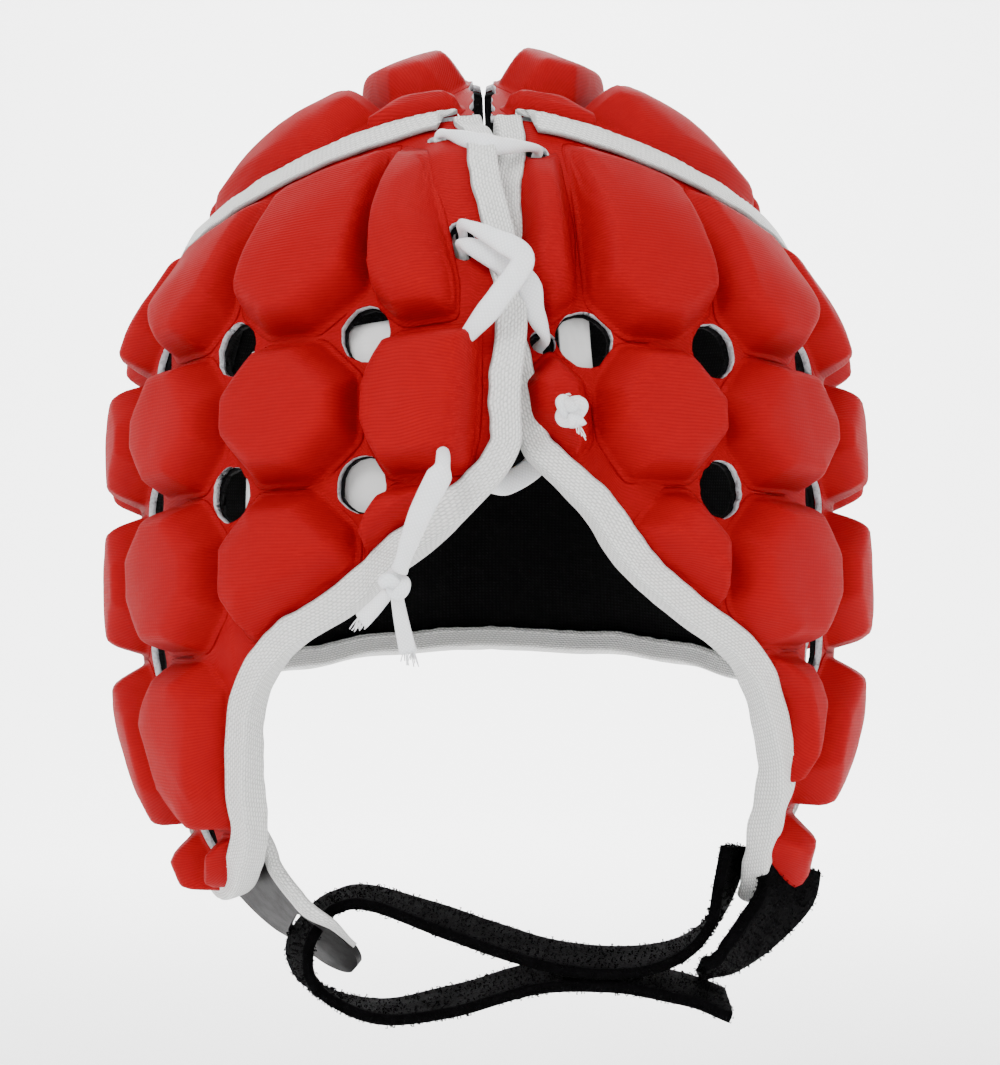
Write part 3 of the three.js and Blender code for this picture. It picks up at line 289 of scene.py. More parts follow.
def back_lower(azimuth):
    azimuth = np.asarray(azimuth, float)
    return back_lower_share(np.where(azimuth > 180, 360 - azimuth, azimuth)) * CROWN_TO_FLAP


def ripple(x, y, seed, length):
    """Smooth waves of about plus or minus one, with the given wavelength, the same at every run."""
    draw = np.random.default_rng(seed)
    total = np.zeros(np.broadcast(x, y).shape)
    for _ in range(7):
        turn, phase, size = draw.uniform(0, 2 * np.pi, 2).tolist() + [length * draw.uniform(0.7, 1.6)]
        total += np.sin((x * np.cos(turn) + y * np.sin(turn)) * 2 * np.pi / size + phase)
    return total / 2.6


def smooth_along(points, reach, closed=False):
    """Points of a line smoothed with a bell of the given reach, in points."""
    span = int(3 * reach) + 1
    weights = np.exp(-0.5 * (np.arange(-span, span + 1) / reach) ** 2)
    weights /= weights.sum()
    if closed:
        padded = np.concatenate((points[-span:], points, points[:span]))
    else:
        first = 2 * points[:1] - points[span:0:-1]
        last = 2 * points[-1:] - points[-2:-span - 2:-1]
        padded = np.concatenate((first, points, last))
    columns = [np.convolve(padded[:, k], weights, "valid") for k in range(points.shape[1])]
    return np.stack(columns, -1)


def run_length(points):
    """The length of a line up to each of its points."""
    return np.concatenate(([0], np.cumsum(np.linalg.norm(np.diff(points, axis=0), axis=1))))


def resampled(points, count, closed=False, measure=None):
    """A line with evenly spaced points. measure is an open line that the spacing is measured on instead."""
    ring = np.concatenate((points, points[:1])) if closed else points
    length = run_length(ring if measure is None else measure)
    wanted = np.linspace(0, length[-1], count + 1 if closed else count)
    made = np.stack([np.interp(wanted, length, ring[:, k]) for k in range(ring.shape[1])], -1)
    return made[:-1] if closed else made


# ---- meshes ----------------------------------------------------------------------------------------------

class Build:
    """Vertices, faces, a UV map in metres and material numbers, gathered for one piece."""

    def __init__(self):
        self.points, self.uvs, self.faces, self.marks, self.count = [], [], [], [], 0

    def add(self, points, faces, uvs, marks=None):
        """Adds a closed shell with its faces turned outwards."""
        volume = 0.0
        for size in (3, 4):
            these = np.array([f for f in faces if len(f) == size], int).reshape(-1, size)
            for k in range(1, size - 1):
                p, q, r = points[these[:, 0]], points[these[:, k]], points[these[:, k + 1]]
                volume += np.einsum("ij,ij->", p, np.cross(q, r))
        if volume < 0:
            faces = [tuple(reversed(face)) for face in faces]
        self.points.append(points)
        self.uvs.append(uvs)
        self.faces += [tuple(i + self.count for i in face) for face in faces]
        self.marks += marks or [0] * len(faces)
        self.count += len(points)

    def piece(self, replaced, *finishes, smooth=True):
        """The piece that takes a CAD node's place. The marks number its finishes."""
        name = replaced + "_sewn"
        mesh = bpy.data.meshes.new(name)
        mesh.from_pydata((np.concatenate(self.points) * MM).tolist(), [], self.faces)
        for finish in finishes:
            mesh.materials.append(finish_of(finish))
        mesh.polygons.foreach_set("material_index", self.marks)
        mesh.polygons.foreach_set("use_smooth", [smooth] * len(self.faces))
        corner = np.zeros(len(mesh.loops), np.int32)
        mesh.loops.foreach_get("vertex_index", corner)
        layer = mesh.uv_layers.new(name="cloth")
        layer.data.foreach_set("uv", (np.concatenate(self.uvs)[corner] * MM).ravel())
        mesh.validate()
        mesh.update()
        made = dress(linked(name, mesh), finishes[0])
        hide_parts(replaced)
        return made


def linked(name, data):
    """An object of the scene that holds the mesh, camera or light."""
    made = bpy.data.objects.new(name, data)
    bpy.context.scene.collection.objects.link(made)
    return made


def dress(piece, slot):
    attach(piece, "root")
    return piece


def grid_faces(rows, columns, closed=False):
    """Faces of a grid of rows by columns. closed joins each row's last point to its first."""
    last = columns if closed else columns - 1
    i, j = np.meshgrid(np.arange(rows - 1), np.arange(last), indexing="ij")
    a, b = i * columns + j, i * columns + (j + 1) % columns
    return np.stack((a, b, b + columns, a + columns), -1).reshape(-1, 4)


def slab_part(build, faces, top, bottom, uv, edge_mark=0):
    """A closed slab: faces on the grid of top points, the same on the bottom ones, and walls between."""
    count = len(uv)
    edges = {}
    for face in faces.tolist():
        for k in range(4):
            edge = (face[k], face[(k + 1) % 4])
            if edge[::-1] in edges:
                del edges[edge[::-1]]
            else:
                edges[edge] = True
    walls = [(p, p + count, q + count, q) for p, q in edges]
    used = np.zeros(2 * count, bool)
    used[faces.ravel()] = True
    used[faces.ravel() + count] = True
    everything = faces.tolist() + (faces[:, ::-1] + count).tolist() + walls
    marks = [0] * (2 * len(faces)) + [edge_mark] * len(walls)
    index = np.cumsum(used) - 1
    points = np.concatenate((top.reshape(-1, 3), bottom.reshape(-1, 3)))[used]
    everything = [tuple(index[list(face)]) for face in everything]
    build.add(points, everything, np.concatenate((uv, uv))[used], marks)


def sheet_part(build, surface, a, b, inner, outer, holes=(), ruffle=0, edge_mark=0):
    """A closed sheet on a wall between two offsets. a and b are grids of the same shape, and a hole is its
    place, radius, stretch and how far its edge strays."""
    removed = np.zeros(a.shape, bool)
    for hole_a, hole_b, radius, stretch, jag in holes:
        scale_a, scale_b = surface.scale(hole_a, hole_b)
        x, y = (a - hole_a) * scale_a, (b - hole_b) * scale_b / stretch
        r, turn = np.hypot(x, y), np.arctan2(y, x)
        edge = radius + jag * ripple(np.cos(turn) * 9, np.sin(turn) * 9, int(hole_a * 7 + hole_b), 5)
        inside = r < edge
        removed |= inside
        grow = np.where(inside, edge / np.maximum(r, 1e-6), 1)
        a, b = hole_a + x * grow / scale_a, hole_b + y * grow * stretch / scale_b
    faces = grid_faces(*a.shape)
    faces = faces[~removed.ravel()[faces].all(axis=1)]
    outside, inside = surface.at(a, b, outer + ruffle), surface.at(a, b, inner + ruffle)
    down = np.cumsum(np.linalg.norm(np.diff(outside, axis=1, prepend=outside[:, :1]), axis=-1), axis=1)
    across = np.cumsum(np.linalg.norm(np.diff(outside, axis=0, prepend=outside[:1]), axis=-1), axis=0)
    slab_part(build, faces, outside, inside, np.stack((across, down), -1).reshape(-1, 2), edge_mark)


def loft_part(build, rings, along, around):
    """A closed tube through rings of points (rings by points by 3), with its ends closed by fans. along and
    around are the UV map's two coordinates."""
    uvs = np.stack(np.broadcast_arrays(along, around), -1)
    count, size = rings.shape[:2]
    faces = [tuple(face) for face in grid_faces(count, size, closed=True).tolist()]
    points = np.concatenate((rings.reshape(-1, 3), rings[:1].mean(axis=1), rings[-1:].mean(axis=1)))
    last = count * size
    for k in range(size):
        faces.append(((k + 1) % size, k, last))
        faces.append((last - size + k, last - size + (k + 1) % size, last + 1))
    uv = np.concatenate((uvs.reshape(-1, 2), uvs[0].mean(axis=0)[None], uvs[-1].mean(axis=0)[None]))
    build.add(points, faces, uv)


# ---- pads ------------------------------------------------------------------------------------------------

PAD_SIDES, OUTLINE_STEPS, OUTLINE_SMOOTHING = 84, 240, 1.15
SMALLEST_PAD, SMALLEST_CROWN_PAD = 34.0, 110.0  # square millimetres
TAPE_CLEAR = 1.2  # from a seam's tape to the pads, and a little less at the back seam
# Corner cuts of the top and bottom rows, and of the crown's pads, as shares of the usual cut.
ROW_END_CUT, CROWN_CUTS = 0.4, (0.7, 0.9)
# Shares of a pad's rise: what is kept at the tape of the crown seam, and how high its top swells.
WALL_KEPT, CROWN_KEPT, PAD_SWELL = 0.36, 0.6, 0.06
# Waves in a pad's top: how high and how long.
PAD_DENTS = ((0.16, 19), (0.035, 8))
# Rings of a pad, as distances inwards from its foot and then as shares of what is left up to its middle.
PAD_FLANGE = (-1.05, -0.5)
PAD_INSETS = np.array((0.0, 0.12, 0.4, 0.8, 1.3, 1.9, 2.6, 3.4, 4.3, 5.3, 6.5, 8.0, 9.6))
PAD_INNER = np.array((0.3, 0.48, 0.66, 0.84))
# The sloped shoulder: how much wider it is at slanted corners, how steep, and how round its top edge is.
CORNER_SHOULDER, SHOULDER_STEEP, SHOULDER_ROUND = 1.35, 1.15, 0.42


def cell(surface, a0, a1, b0, b1, groove, cut_low, cut_high, leans=(0, 0)):
    """The middle and the eight half planes of a pad's cell, in millimetres from that middle. leans turn the
    sides at a0 and a1 towards the front with height."""
    middle = ((a0 + a1) / 2, (b0 + b1) / 2)
    scale = surface.scale(*middle)
    half = ((a1 - a0) / 2 * scale[0] - groove / 2, (b1 - b0) / 2 * scale[1] - groove / 2)
    planes = [(1, -leans[1], half[0] - leans[1] * half[1]), (-1, leans[0], half[0] + leans[0] * half[1]),
              (0, 1, half[1]), (0, -1, half[1])]
    root = math.sqrt(0.5)
    for x in (1, -1):
        for y, cut in ((1, cut_high), (-1, cut_low)):
            planes.append((x * root, y * root, (half[0] + half[1] - cut) * root))
    return middle, scale, planes


def pad_outline(cell_of, limits):
    """Where a pad's foot runs, as a and b, after the limits have cut its cell, with its middle and area.
    None where too little is left."""
    middle, scale, planes = cell_of
    reach = max(p[2] for p in planes[:4]) * 1.5
    grid = np.linspace(-reach, reach, 61)
    x, y = (g.ravel() for g in np.meshgrid(grid, grid))

    def slack(x, y):
        values = [p[2] - p[0] * x - p[1] * y for p in planes]
        a, b = middle[0] + x / scale[0], middle[1] + y / scale[1]
        return np.min(values + [limit(a, b) for limit in limits], axis=0)

    room = slack(x, y)
    area = (room > 0).sum() * (grid[1] - grid[0]) ** 2
    if area < SMALLEST_PAD:
        return None
    centre = np.array((x[room > 0].mean(), y[room > 0].mean()))
    turn = np.linspace(0, 2 * np.pi, OUTLINE_STEPS, endpoint=False)
    way = np.stack((np.cos(turn), np.sin(turn)), -1)
    low, high = np.zeros(len(turn)), np.full(len(turn), reach * 1.6)
    for _ in range(18):
        middle_t = (low + high) / 2
        inside = slack(*(centre[:, None] + (way * middle_t[:, None]).T)) > 0
        low, high = np.where(inside, middle_t, low), np.where(inside, high, middle_t)
    ring = resampled(centre + way * low[:, None], OUTLINE_STEPS, closed=True)
    length = np.linalg.norm(ring[0] - ring[1])
    ring = smooth_along(ring, OUTLINE_SMOOTHING / length, closed=True)
    ring = resampled(ring, PAD_SIDES, closed=True)
    return np.array(middle) + ring / scale, np.array(middle) + ring.mean(axis=0) / scale, area


def pad_part(build, surface, outline, rise, shoulder, seed, taper):
    """One foam pad: a closed block with a flange on the web, steep sides, slanted corners and a rounded top
    edge. taper(a, b) is how much of its rise it keeps there."""
    ring, centre, _ = outline
    draw = np.random.default_rng(seed)
    foot = surface.at(ring[:, 0], ring[:, 1], np.full(PAD_SIDES, WEB_OUTER))
    heart = surface.at(*centre, WEB_OUTER)
    radius = np.linalg.norm(foot - heart, axis=1)
    small = radius.min()
    rise = rise * min(1.0, (small + 4.5) / 11.5) * draw.uniform(0.97, 1.03)
    insets = [*PAD_FLANGE] + [inset for inset in PAD_INSETS if inset < 0.55 * small]
    shares = [inset / radius for inset in insets]
    start = insets[-1] / radius
    shares += [lerp(start, 1.0, t) for t in PAD_INNER]
    shares = np.stack(shares)
    a = lerp(ring[None, :, 0], centre[0], shares)
    b = lerp(ring[None, :, 1], centre[1], shares)
    flat = surface.at(a, b, np.full(a.shape, WEB_OUTER))
    gaps = np.linalg.norm(flat[:, :, None] - foot[None, None], axis=-1)
    along = (np.roll(ring, -1, axis=0) - np.roll(ring, 1, axis=0)) * surface.scale(*centre)
    slant = smoothstep(2 * np.abs(along[:, 0] * along[:, 1]) / (along ** 2).sum(-1), 0.5, 0.95)
    wide = np.minimum(shoulder * lerp(1.0, CORNER_SHOULDER, slant), 0.7 * small)
    t = np.min(gaps / wide, axis=-1)
    t[:2] = 0  # the two rings of the flange
    steep = SHOULDER_STEEP * t
    near = np.clip(SHOULDER_ROUND - np.abs(steep - 1), 0, None)
    height = rise * (np.minimum(steep, 1) - near ** 2 / (4 * SHOULDER_ROUND))
    height += rise * PAD_SWELL * (1 - (1 - shares) ** 2) * (shares > 0)
    height = np.maximum(height * taper(a, b), 0.5)
    height[0], height[1], height[2] = 0.02, 0.1, 0.45
    place = np.stack((a * surface.scale(*centre)[0], b * surface.scale(*centre)[1]), -1)
    dent = sum(ripple(place[..., 0], place[..., 1], seed + k, length) * high
               for k, (high, length) in enumerate(PAD_DENTS))
    height += dent * smoothstep(t, 0.3, 1)
    points = surface.at(a, b, WEB_OUTER + height)
    away = unit(place[0] - place.mean(axis=(0, 1)))
    path = np.cumsum(np.linalg.norm(np.diff(points, axis=0, prepend=points[:1]), axis=-1), axis=0)
    plain = np.cumsum(np.linalg.norm(np.diff(flat, axis=0, prepend=flat[:1]), axis=-1), axis=0)
    extra = (path - plain)[-1] - (path - plain)
    uv = place + away[None] * extra[..., None]
    under = surface.at(ring[:, 0], ring[:, 1], np.full(PAD_SIDES, WEB_OUTER - 0.7))
    uv = np.concatenate((uv[:1], uv))
    loft_part(build, np.concatenate((under[None], points)), uv[..., 0], uv[..., 1])


def rim_limit(surface, rim, margin, flap_margin=None):
    """How far a place is from the rim, less a margin, which changes to another one on the flap."""

    def limit(a, b):
        scale_a, _ = surface.scale(a, b)
        slope = (rim(a + 0.5) - rim(a - 0.5)) / scale_a
        kept = margin
        if flap_margin is not None:
            kept = lerp(margin, flap_margin, smoothstep(a, 50, 60) * (1 - smoothstep(a, 70, 80)))
        return (rim(a) - b) / np.hypot(1, slope) - kept

    return limit


def seam_fold(azimuth):
    azimuth = np.asarray(azimuth, float)
    return seam_drop(np.where(azimuth > 180, 360 - azimuth, azimuth))


PAD_MARGIN, FLAP_MARGIN = 5.3, 0.8
# How far the pads keep off the free front edge in the top row and below it, and off the tape at the front,
# and how far the sides of the top row's pads lean.
FRONT_MARGINS, FRONT_TOP_MARGIN = {"right": (11.6, 7.4), "left": (3.2, 1.6)}, 6.5
TOP_LEANS = {"right": (0, 0.09, 0, 0, 0, 0, 0), "left": (0, 0, -0.07, 0, 0, 0, 0)}


def wall_taper(a, b):
    """The pads sink towards the crown seam, so that its tape lies bare."""
    return lerp(WALL_KEPT, 1.0, smoothstep(b - seam_fold(a), 4, 32))


def clear_of_crown_tape(a, b):
    return b - seam_fold(a) - TAPE_WIDTH / 2 - TAPE_CLEAR


def clear_of_back_tape(degrees):
    """How far a place is from the tape of a back seam that lies so many degrees away."""
    return degrees * BACK_SEAM_DEGREE - TAPE_WIDTH / 2 - 1


def row_cuts(sizes, row, rows):
    """How much of a row's upper and lower corners is cut off."""
    return [sizes.corner_cut / MM * (ROW_END_CUT if end else 1) for end in (row == 0, row == len(rows) - 2)]


def side_pad_outlines(name, sizes):
    side, surface = SIDES[name], WALLS[name]
    rows = [share * CROWN_TO_FLAP for share in (0.03, *side["rows"], 1.1)]

    def from_front(a, b):
        return np.sign(a) * np.linalg.norm(surface.point(a, b) - surface.point(0 * a, b), axis=-1)

    limits = [
        lambda a, b: clear_of_crown_tape(a, b) - FRONT_TOP_MARGIN * (1 - smoothstep(a, 7, 17)),
        rim_limit(surface, lower_of(name), PAD_MARGIN, FLAP_MARGIN),
        lambda a, b: clear_of_back_tape(BACK_SEAM - a),
    ]
    for row in range(len(rows) - 1):
        margin = FRONT_MARGINS[name][min(row, 1)]
        first = side["columns"][0] if row < 2 else side["low_first"]
        columns = (0, first, *side["columns"][1:], BACK_SEAM)
        cuts = row_cuts(sizes, row, rows)
        for column in range(len(columns) - 1):
            leans = TOP_LEANS[name][column:column + 2] if row == 0 else (0, 0)
            made = cell(surface, *columns[column:column + 2], *rows[row:row + 2], sizes.groove / MM, *cuts,
                        leans)
            outline = pad_outline(made, [*limits, lambda a, b: from_front(a, b) - margin])
            if outline is not None:
                yield outline


def back_pad_outlines(sizes):
    limits = [
        clear_of_crown_tape,
        rim_limit(BACK, back_lower, PAD_MARGIN),
        lambda a, b: clear_of_back_tape(a - BACK_SEAM),
        lambda a, b: clear_of_back_tape(360 - BACK_SEAM - a),
    ]
    for row in range(len(BACK_ROWS) - 1):
        drops = [share * CROWN_TO_FLAP for share in BACK_ROWS[row:row + 2]]
        cuts = row_cuts(sizes, row, BACK_ROWS)
        for column in range(len(BACK_COLUMNS) - 1):
            made = cell(BACK, *BACK_COLUMNS[column:column + 2], *drops, sizes.groove / MM, *cuts)
            outline = pad_outline(made, limits)
            if outline is not None:
                yield outline


def crown_rib(surface, azimuth):
    """The length of a crown panel from the seam up to the ridge."""
    return np.linalg.norm(surface.point(azimuth, 1.0) - surface.point(azimuth, 0.0), axis=-1)


def crown_middle(surface, azimuth):
    """The rise at which a crown column's outer pad ends and its inner one begins."""
    return min(CROWN_PAD_LENGTH / crown_rib(surface, azimuth), 0.94)


RIDGE_MARGIN = 0.9


def crown_pad_outlines(name, sizes):
    surface = CROWNS[name]
    limits = [
        lambda a, b: b * crown_rib(surface, a) - TAPE_WIDTH / 2 - TAPE_CLEAR,
        lambda a, b: (1 - b) * crown_rib(surface, a) - RIDGE_MARGIN,
    ]
    for column in range(len(CROWN_COLUMNS) - 1):
        a0, a1 = CROWN_COLUMNS[column:column + 2]
        middle = crown_middle(surface, (a0 + a1) / 2)
        for low, high in ((0, middle), (middle, 1)):
            cuts = [sizes.corner_cut / MM * share for share in CROWN_CUTS]
            made = cell(surface, a0, a1, low, high, sizes.groove / MM, *cuts)
            outline = pad_outline(made, limits)
            if outline is not None and outline[2] > SMALLEST_CROWN_PAD:
                yield outline


def side_holes(name):
    side, surface = SIDES[name], WALLS[name]
    clear = rim_limit(surface, lower_of(name), VENT_RADIUS + VENT_MARGIN)
    vents = [
        (a, share * CROWN_TO_FLAP, VENT_RADIUS, 1.0, VENT_JAG)
        for share in side["rows"] for a in side["columns"]
        if clear(np.array(float(a)), np.array(share * CROWN_TO_FLAP)) > 0
    ]
    return vents + [
        (a, share * CROWN_TO_FLAP, EYELET_RADIUS, stretch, 0.0) for a, share, stretch in EYELETS[name]
    ]


def back_holes():
    drops = [share * CROWN_TO_FLAP for share in BACK_ROWS[1:-1]]
    return [(a, drop, VENT_RADIUS, 1.0, VENT_JAG) for drop in drops for a in BACK_COLUMNS[1:-1]]


def crown_holes(name):
    surface = CROWNS[name]
    rises = [0.5] + [crown_middle(surface, a) for a in CROWN_COLUMNS[2:4]]
    return [(a, rise, CROWN_VENT_RADIUS, 1.0, VENT_JAG) for a, rise in zip(CROWN_COLUMNS[1:4], rises)]


def wall_grid(azimuths, lower, steps):
    """Grids of azimuths and drops from the crown seam down to a lower edge."""
    a = np.repeat(azimuths[:, None], steps + 1, axis=1)
    top = seam_fold(azimuths) + SEAM_CLEARANCE
    return a, lerp(top[:, None], lower(azimuths)[:, None], np.linspace(0, 1, steps + 1)[None])


def side_azimuths(count):
    return np.linspace(0, BACK_SEAM - BACK_SEAM_GAP, count)


def back_azimuths(count):
    return np.linspace(BACK_SEAM + BACK_SEAM_GAP, 360 - BACK_SEAM - BACK_SEAM_GAP, count)


def crown_grid(name, columns, steps):
    """Grids of azimuths and rises from the crown seam up to the ridge."""
    surface = CROWNS[name]
    azimuths = np.linspace(CROWN_COLUMNS[0], CROWN_COLUMNS[-1], columns)
    a = np.repeat(azimuths[:, None], steps + 1, axis=1)
    start = SEAM_CLEARANCE / crown_rib(surface, azimuths)
    return a, lerp(start[:, None], 1.0, np.linspace(0, 1, steps + 1)[None])


# ---- materials -------------------------------------------------------------------------------------------

class Nodes:
    """Short ways to add and link shader nodes."""

    def __init__(self, name):
        self.material = bpy.data.materials.new(name)
        self.material.use_nodes = True
        self.tree = self.material.node_tree
        self.shader = self.tree.nodes["Principled BSDF"]

    def node(self, kind, **values):
        made = self.tree.nodes.new(kind)
        for key, value in values.items():
            if key in made.inputs.keys():
                made.inputs[key].default_value = value
            else:
                setattr(made, key, value)
        return made

    def link(self, source, target):
        self.tree.links.new(source, target)

    def math(self, operation, a, b=None, c=None):
        made = self.tree.nodes.new("ShaderNodeMath")
        made.operation = operation
        for i, value in enumerate((a, b, c)):
            if isinstance(value, (int, float)):
                made.inputs[i].default_value = value
            elif value is not None:
                self.link(value, made.inputs[i])
        return made.outputs[0]

    def uv(self):
        made = self.node("ShaderNodeUVMap", uv_map="cloth")
        split = self.node("ShaderNodeSeparateXYZ")
        self.link(made.outputs["UV"], split.inputs[0])
        return split.outputs[0], split.outputs[1]

    def place(self):
        return self.node("ShaderNodeTexCoord").outputs["Object"]

    def noise(self, size, detail=3.0, roughness=0.55):
        made = self.node("ShaderNodeTexNoise", Scale=1 / size, Detail=detail, Roughness=roughness)
        self.link(self.place(), made.inputs["Vector"])
        return made.outputs["Fac"]

    def wave(self, coordinate, pitch, phase=0.0):
        """A wave from 0 to 1 with the given pitch in metres."""
        angle = self.math("MULTIPLY_ADD", coordinate, 2 * math.pi / pitch, phase)
        return self.math("MULTIPLY_ADD", self.math("SINE", angle), 0.5, 0.5)

    def spread(self, value, low, high, to_low=0.0, to_high=1.0):
        made = self.node("ShaderNodeMapRange")
        made.inputs["From Min"].default_value, made.inputs["From Max"].default_value = low, high
        made.inputs["To Min"].default_value, made.inputs["To Max"].default_value = to_low, to_high
        self.link(value, made.inputs["Value"])
        return made.outputs[0]

    def mix(self, factor, low, high):
        made = self.node("ShaderNodeMix", data_type="RGBA")
        self.link(factor, made.inputs["Factor"])
        for value, socket in ((low, made.inputs[6]), (high, made.inputs[7])):
            if isinstance(value, bpy.types.NodeSocket):
                self.link(value, socket)
            else:
                socket.default_value = (*value[:3], 1)
        return made.outputs[2]

    def bump(self, height, distance, strength, before=None):
        made = self.node("ShaderNodeBump", Strength=strength, Distance=distance)
        self.link(height, made.inputs["Height"])
        if before is not None:
            self.link(before, made.inputs["Normal"])
        return made.outputs["Normal"]

    def finish(self, colour, roughness, normal=None, **settings):
        self.link(colour, self.shader.inputs["Base Color"])
        if isinstance(roughness, float):
            self.shader.inputs["Roughness"].default_value = roughness
        else:
            self.link(roughness, self.shader.inputs["Roughness"])
        if normal is not None:
            self.link(normal, self.shader.inputs["Normal"])
        for key, value in settings.items():
            self.shader.inputs[key.replace("_", " ")].default_value = value
        return self.material


def shade(colour, factor):
    return tuple(min(1.0, channel * factor) for channel in colour)


RIB_PITCH, WEAVE_PITCH = 0.00074, 0.0008  # metres


def stretch_fabric(name, colour):
    """Fine-ribbed stretch fabric: ribs along the cloth's U with painted shade between them, a soft mottle,
    and dust-like fibre ends.
    """
    n = Nodes(name)
    u, v = n.uv()
    wander = n.math("MULTIPLY_ADD", n.noise(0.02, 2.0), RIB_PITCH * 1.4, v)
    ribs = n.wave(wander, RIB_PITCH)
    stitch = n.wave(u, RIB_PITCH * 1.25)
    knit = n.math("MULTIPLY", ribs, n.spread(stitch, 0, 1, 0.72, 1.0))
    mottle = n.spread(n.noise(0.035, 4.0), 0.3, 0.7)
    grain = n.spread(n.noise(0.0007, 2.0), 0.25, 0.75)
    tone = n.mix(mottle, shade(colour, 0.93), shade(colour, 1.06))
    # Painted shade: the colour is darker in the valleys between the ribs, where the knit bump is low.
    tone = n.mix(n.spread(knit, 0, 0.6, 0.0, 1.0), shade(colour, 0.86), tone)
    tone = n.mix(n.spread(grain, 0.55, 1, 0, 0.1), tone, shade(colour, 1.5))
    normal = n.bump(knit, 0.00009, 0.5)
    normal = n.bump(n.noise(0.0011, 3.0), 0.0001, 0.25, normal)
    rough = n.spread(n.math("ADD", grain, mottle), 0, 2, 0.62, 0.78)
    return n.finish(tone, rough, normal, Specular_IOR_Level=0.08)


def knit_lining(name, colour):
    n = Nodes(name)
    u, v = n.uv()
    knit = n.math("MULTIPLY", n.wave(u, 0.0011), n.wave(v, 0.0009))
    mottle = n.spread(n.noise(0.018, 4.0), 0.3, 0.7)
    # Painted shade: the colour is darker in the hollows of the knit, where its bump is low.
    tone = n.mix(knit, shade(colour, 0.6), n.mix(mottle, shade(colour, 1.3), shade(colour, 2.4)))
    normal = n.bump(knit, 0.0002, 0.7)
    return n.finish(tone, n.spread(mottle, 0, 1, 0.8, 0.95), normal, Sheen_Weight=0.01,
                    Specular_IOR_Level=0.1)


def woven_tape(name, colour):
    """Coarse woven tape: short raised floats in a broken twill, with painted shade in the gaps between
    them.
    """
    n = Nodes(name)
    u, v = n.uv()
    slant = n.math("ADD", u, n.math("MULTIPLY", v, 0.6))
    row = n.math("FLOOR", n.math("DIVIDE", v, WEAVE_PITCH * 0.8))
    step = n.math("MULTIPLY", row, WEAVE_PITCH * 0.52)
    floats = n.wave(n.math("ADD", slant, step), WEAVE_PITCH * 1.5)
    across = n.wave(v, WEAVE_PITCH * 0.8, -math.pi / 2)
    weave = n.math("MULTIPLY", n.math("POWER", floats, 0.6), n.math("POWER", across, 0.7))
    fuzz = n.noise(0.0005, 3.0)
    weave = n.math("MULTIPLY_ADD", fuzz, 0.35, weave)
    grime = n.spread(n.noise(0.012, 4.0), 0.35, 0.75)
    # Painted shade: the colour is darker in the gaps between the floats, where the weave bump is low.
    tone = n.mix(n.spread(weave, 0.05, 0.75), shade(colour, 0.5), colour)
    tone = n.mix(n.spread(grime, 0, 1, 0, 0.22), tone, shade(colour, 0.82))
    normal = n.bump(weave, 0.0003, 0.85)
    return n.finish(tone, n.spread(fuzz, 0.3, 0.7, 0.72, 0.9), normal, Sheen_Weight=0.1,
                    Specular_IOR_Level=0.3)


def lace_cloth(name, colour):
    n = Nodes(name)
    u, v = n.uv()
    braid = n.math("MULTIPLY", *(n.wave(n.math(way, u, v), WEAVE_PITCH) for way in ("ADD", "SUBTRACT")))
    folds = n.noise(0.004, 2.0)
    # Painted shade: the colour is darker between the braid's strands, where its bump is low.
    tone = n.mix(n.spread(braid, 0, 0.5), shade(colour, 0.86), colour)
    tone = n.mix(n.spread(folds, 0.35, 0.7, 0, 0.1), tone, shade(colour, 0.75))
    normal = n.bump(braid, 0.00008, 0.5)
    normal = n.bump(folds, 0.0004, 0.35, normal)
    return n.finish(tone, n.spread(folds, 0.3, 0.7, 0.42, 0.56), normal, Sheen_Weight=0.12,
                    Subsurface_Weight=0.08, Specular_IOR_Level=0.42)


def loop_pile(name, colour):
    n = Nodes(name)
    tufts = n.noise(0.0011, 4.0, 0.7)
    # Lighter in random patches about 12 mm across.
    lighter_patches = n.spread(n.noise(0.012, 3.0), 0.35, 0.7)
    # Painted shade: the colour is darker between the tufts, where their bump is low.
    tone = n.mix(n.spread(tufts, 0.35, 0.7), shade(colour, 0.35), n.mix(lighter_patches, colour, shade(colour, 1.6)))
    normal = n.bump(tufts, 0.0006, 0.9)
    return n.finish(tone, n.spread(tufts, 0.3, 0.7, 0.85, 1.0), normal, Specular_IOR_Level=0.04)


def moulded_plastic(name, colour):
    n = Nodes(name)
    grain = n.noise(0.0006, 3.0)
    scuff = n.spread(n.noise(0.006, 5.0, 0.7), 0.45, 0.75)
    tone = n.mix(scuff, colour, shade(colour, 1.5))
    normal = n.bump(grain, 0.00006, 0.5)
    return n.finish(tone, n.spread(scuff, 0, 1, 0.5, 0.66), normal, Specular_IOR_Level=0.14)


def label_satin(name, colour):
    n = Nodes(name)
    u, v = n.uv()
    satin = n.math("MULTIPLY", n.wave(u, 0.0004), n.wave(v, 0.0009))
    crease = n.noise(0.009, 3.0)
    # Painted shade: the colour is darker in the creases, where the crease bump is low.
    tone = n.mix(n.spread(crease, 0.3, 0.7), shade(colour, 0.88), colour)
    normal = n.bump(satin, 0.00005, 0.5)
    normal = n.bump(crease, 0.0008, 0.5, normal)
    return n.finish(tone, n.spread(satin, 0, 1, 0.5, 0.66), normal)


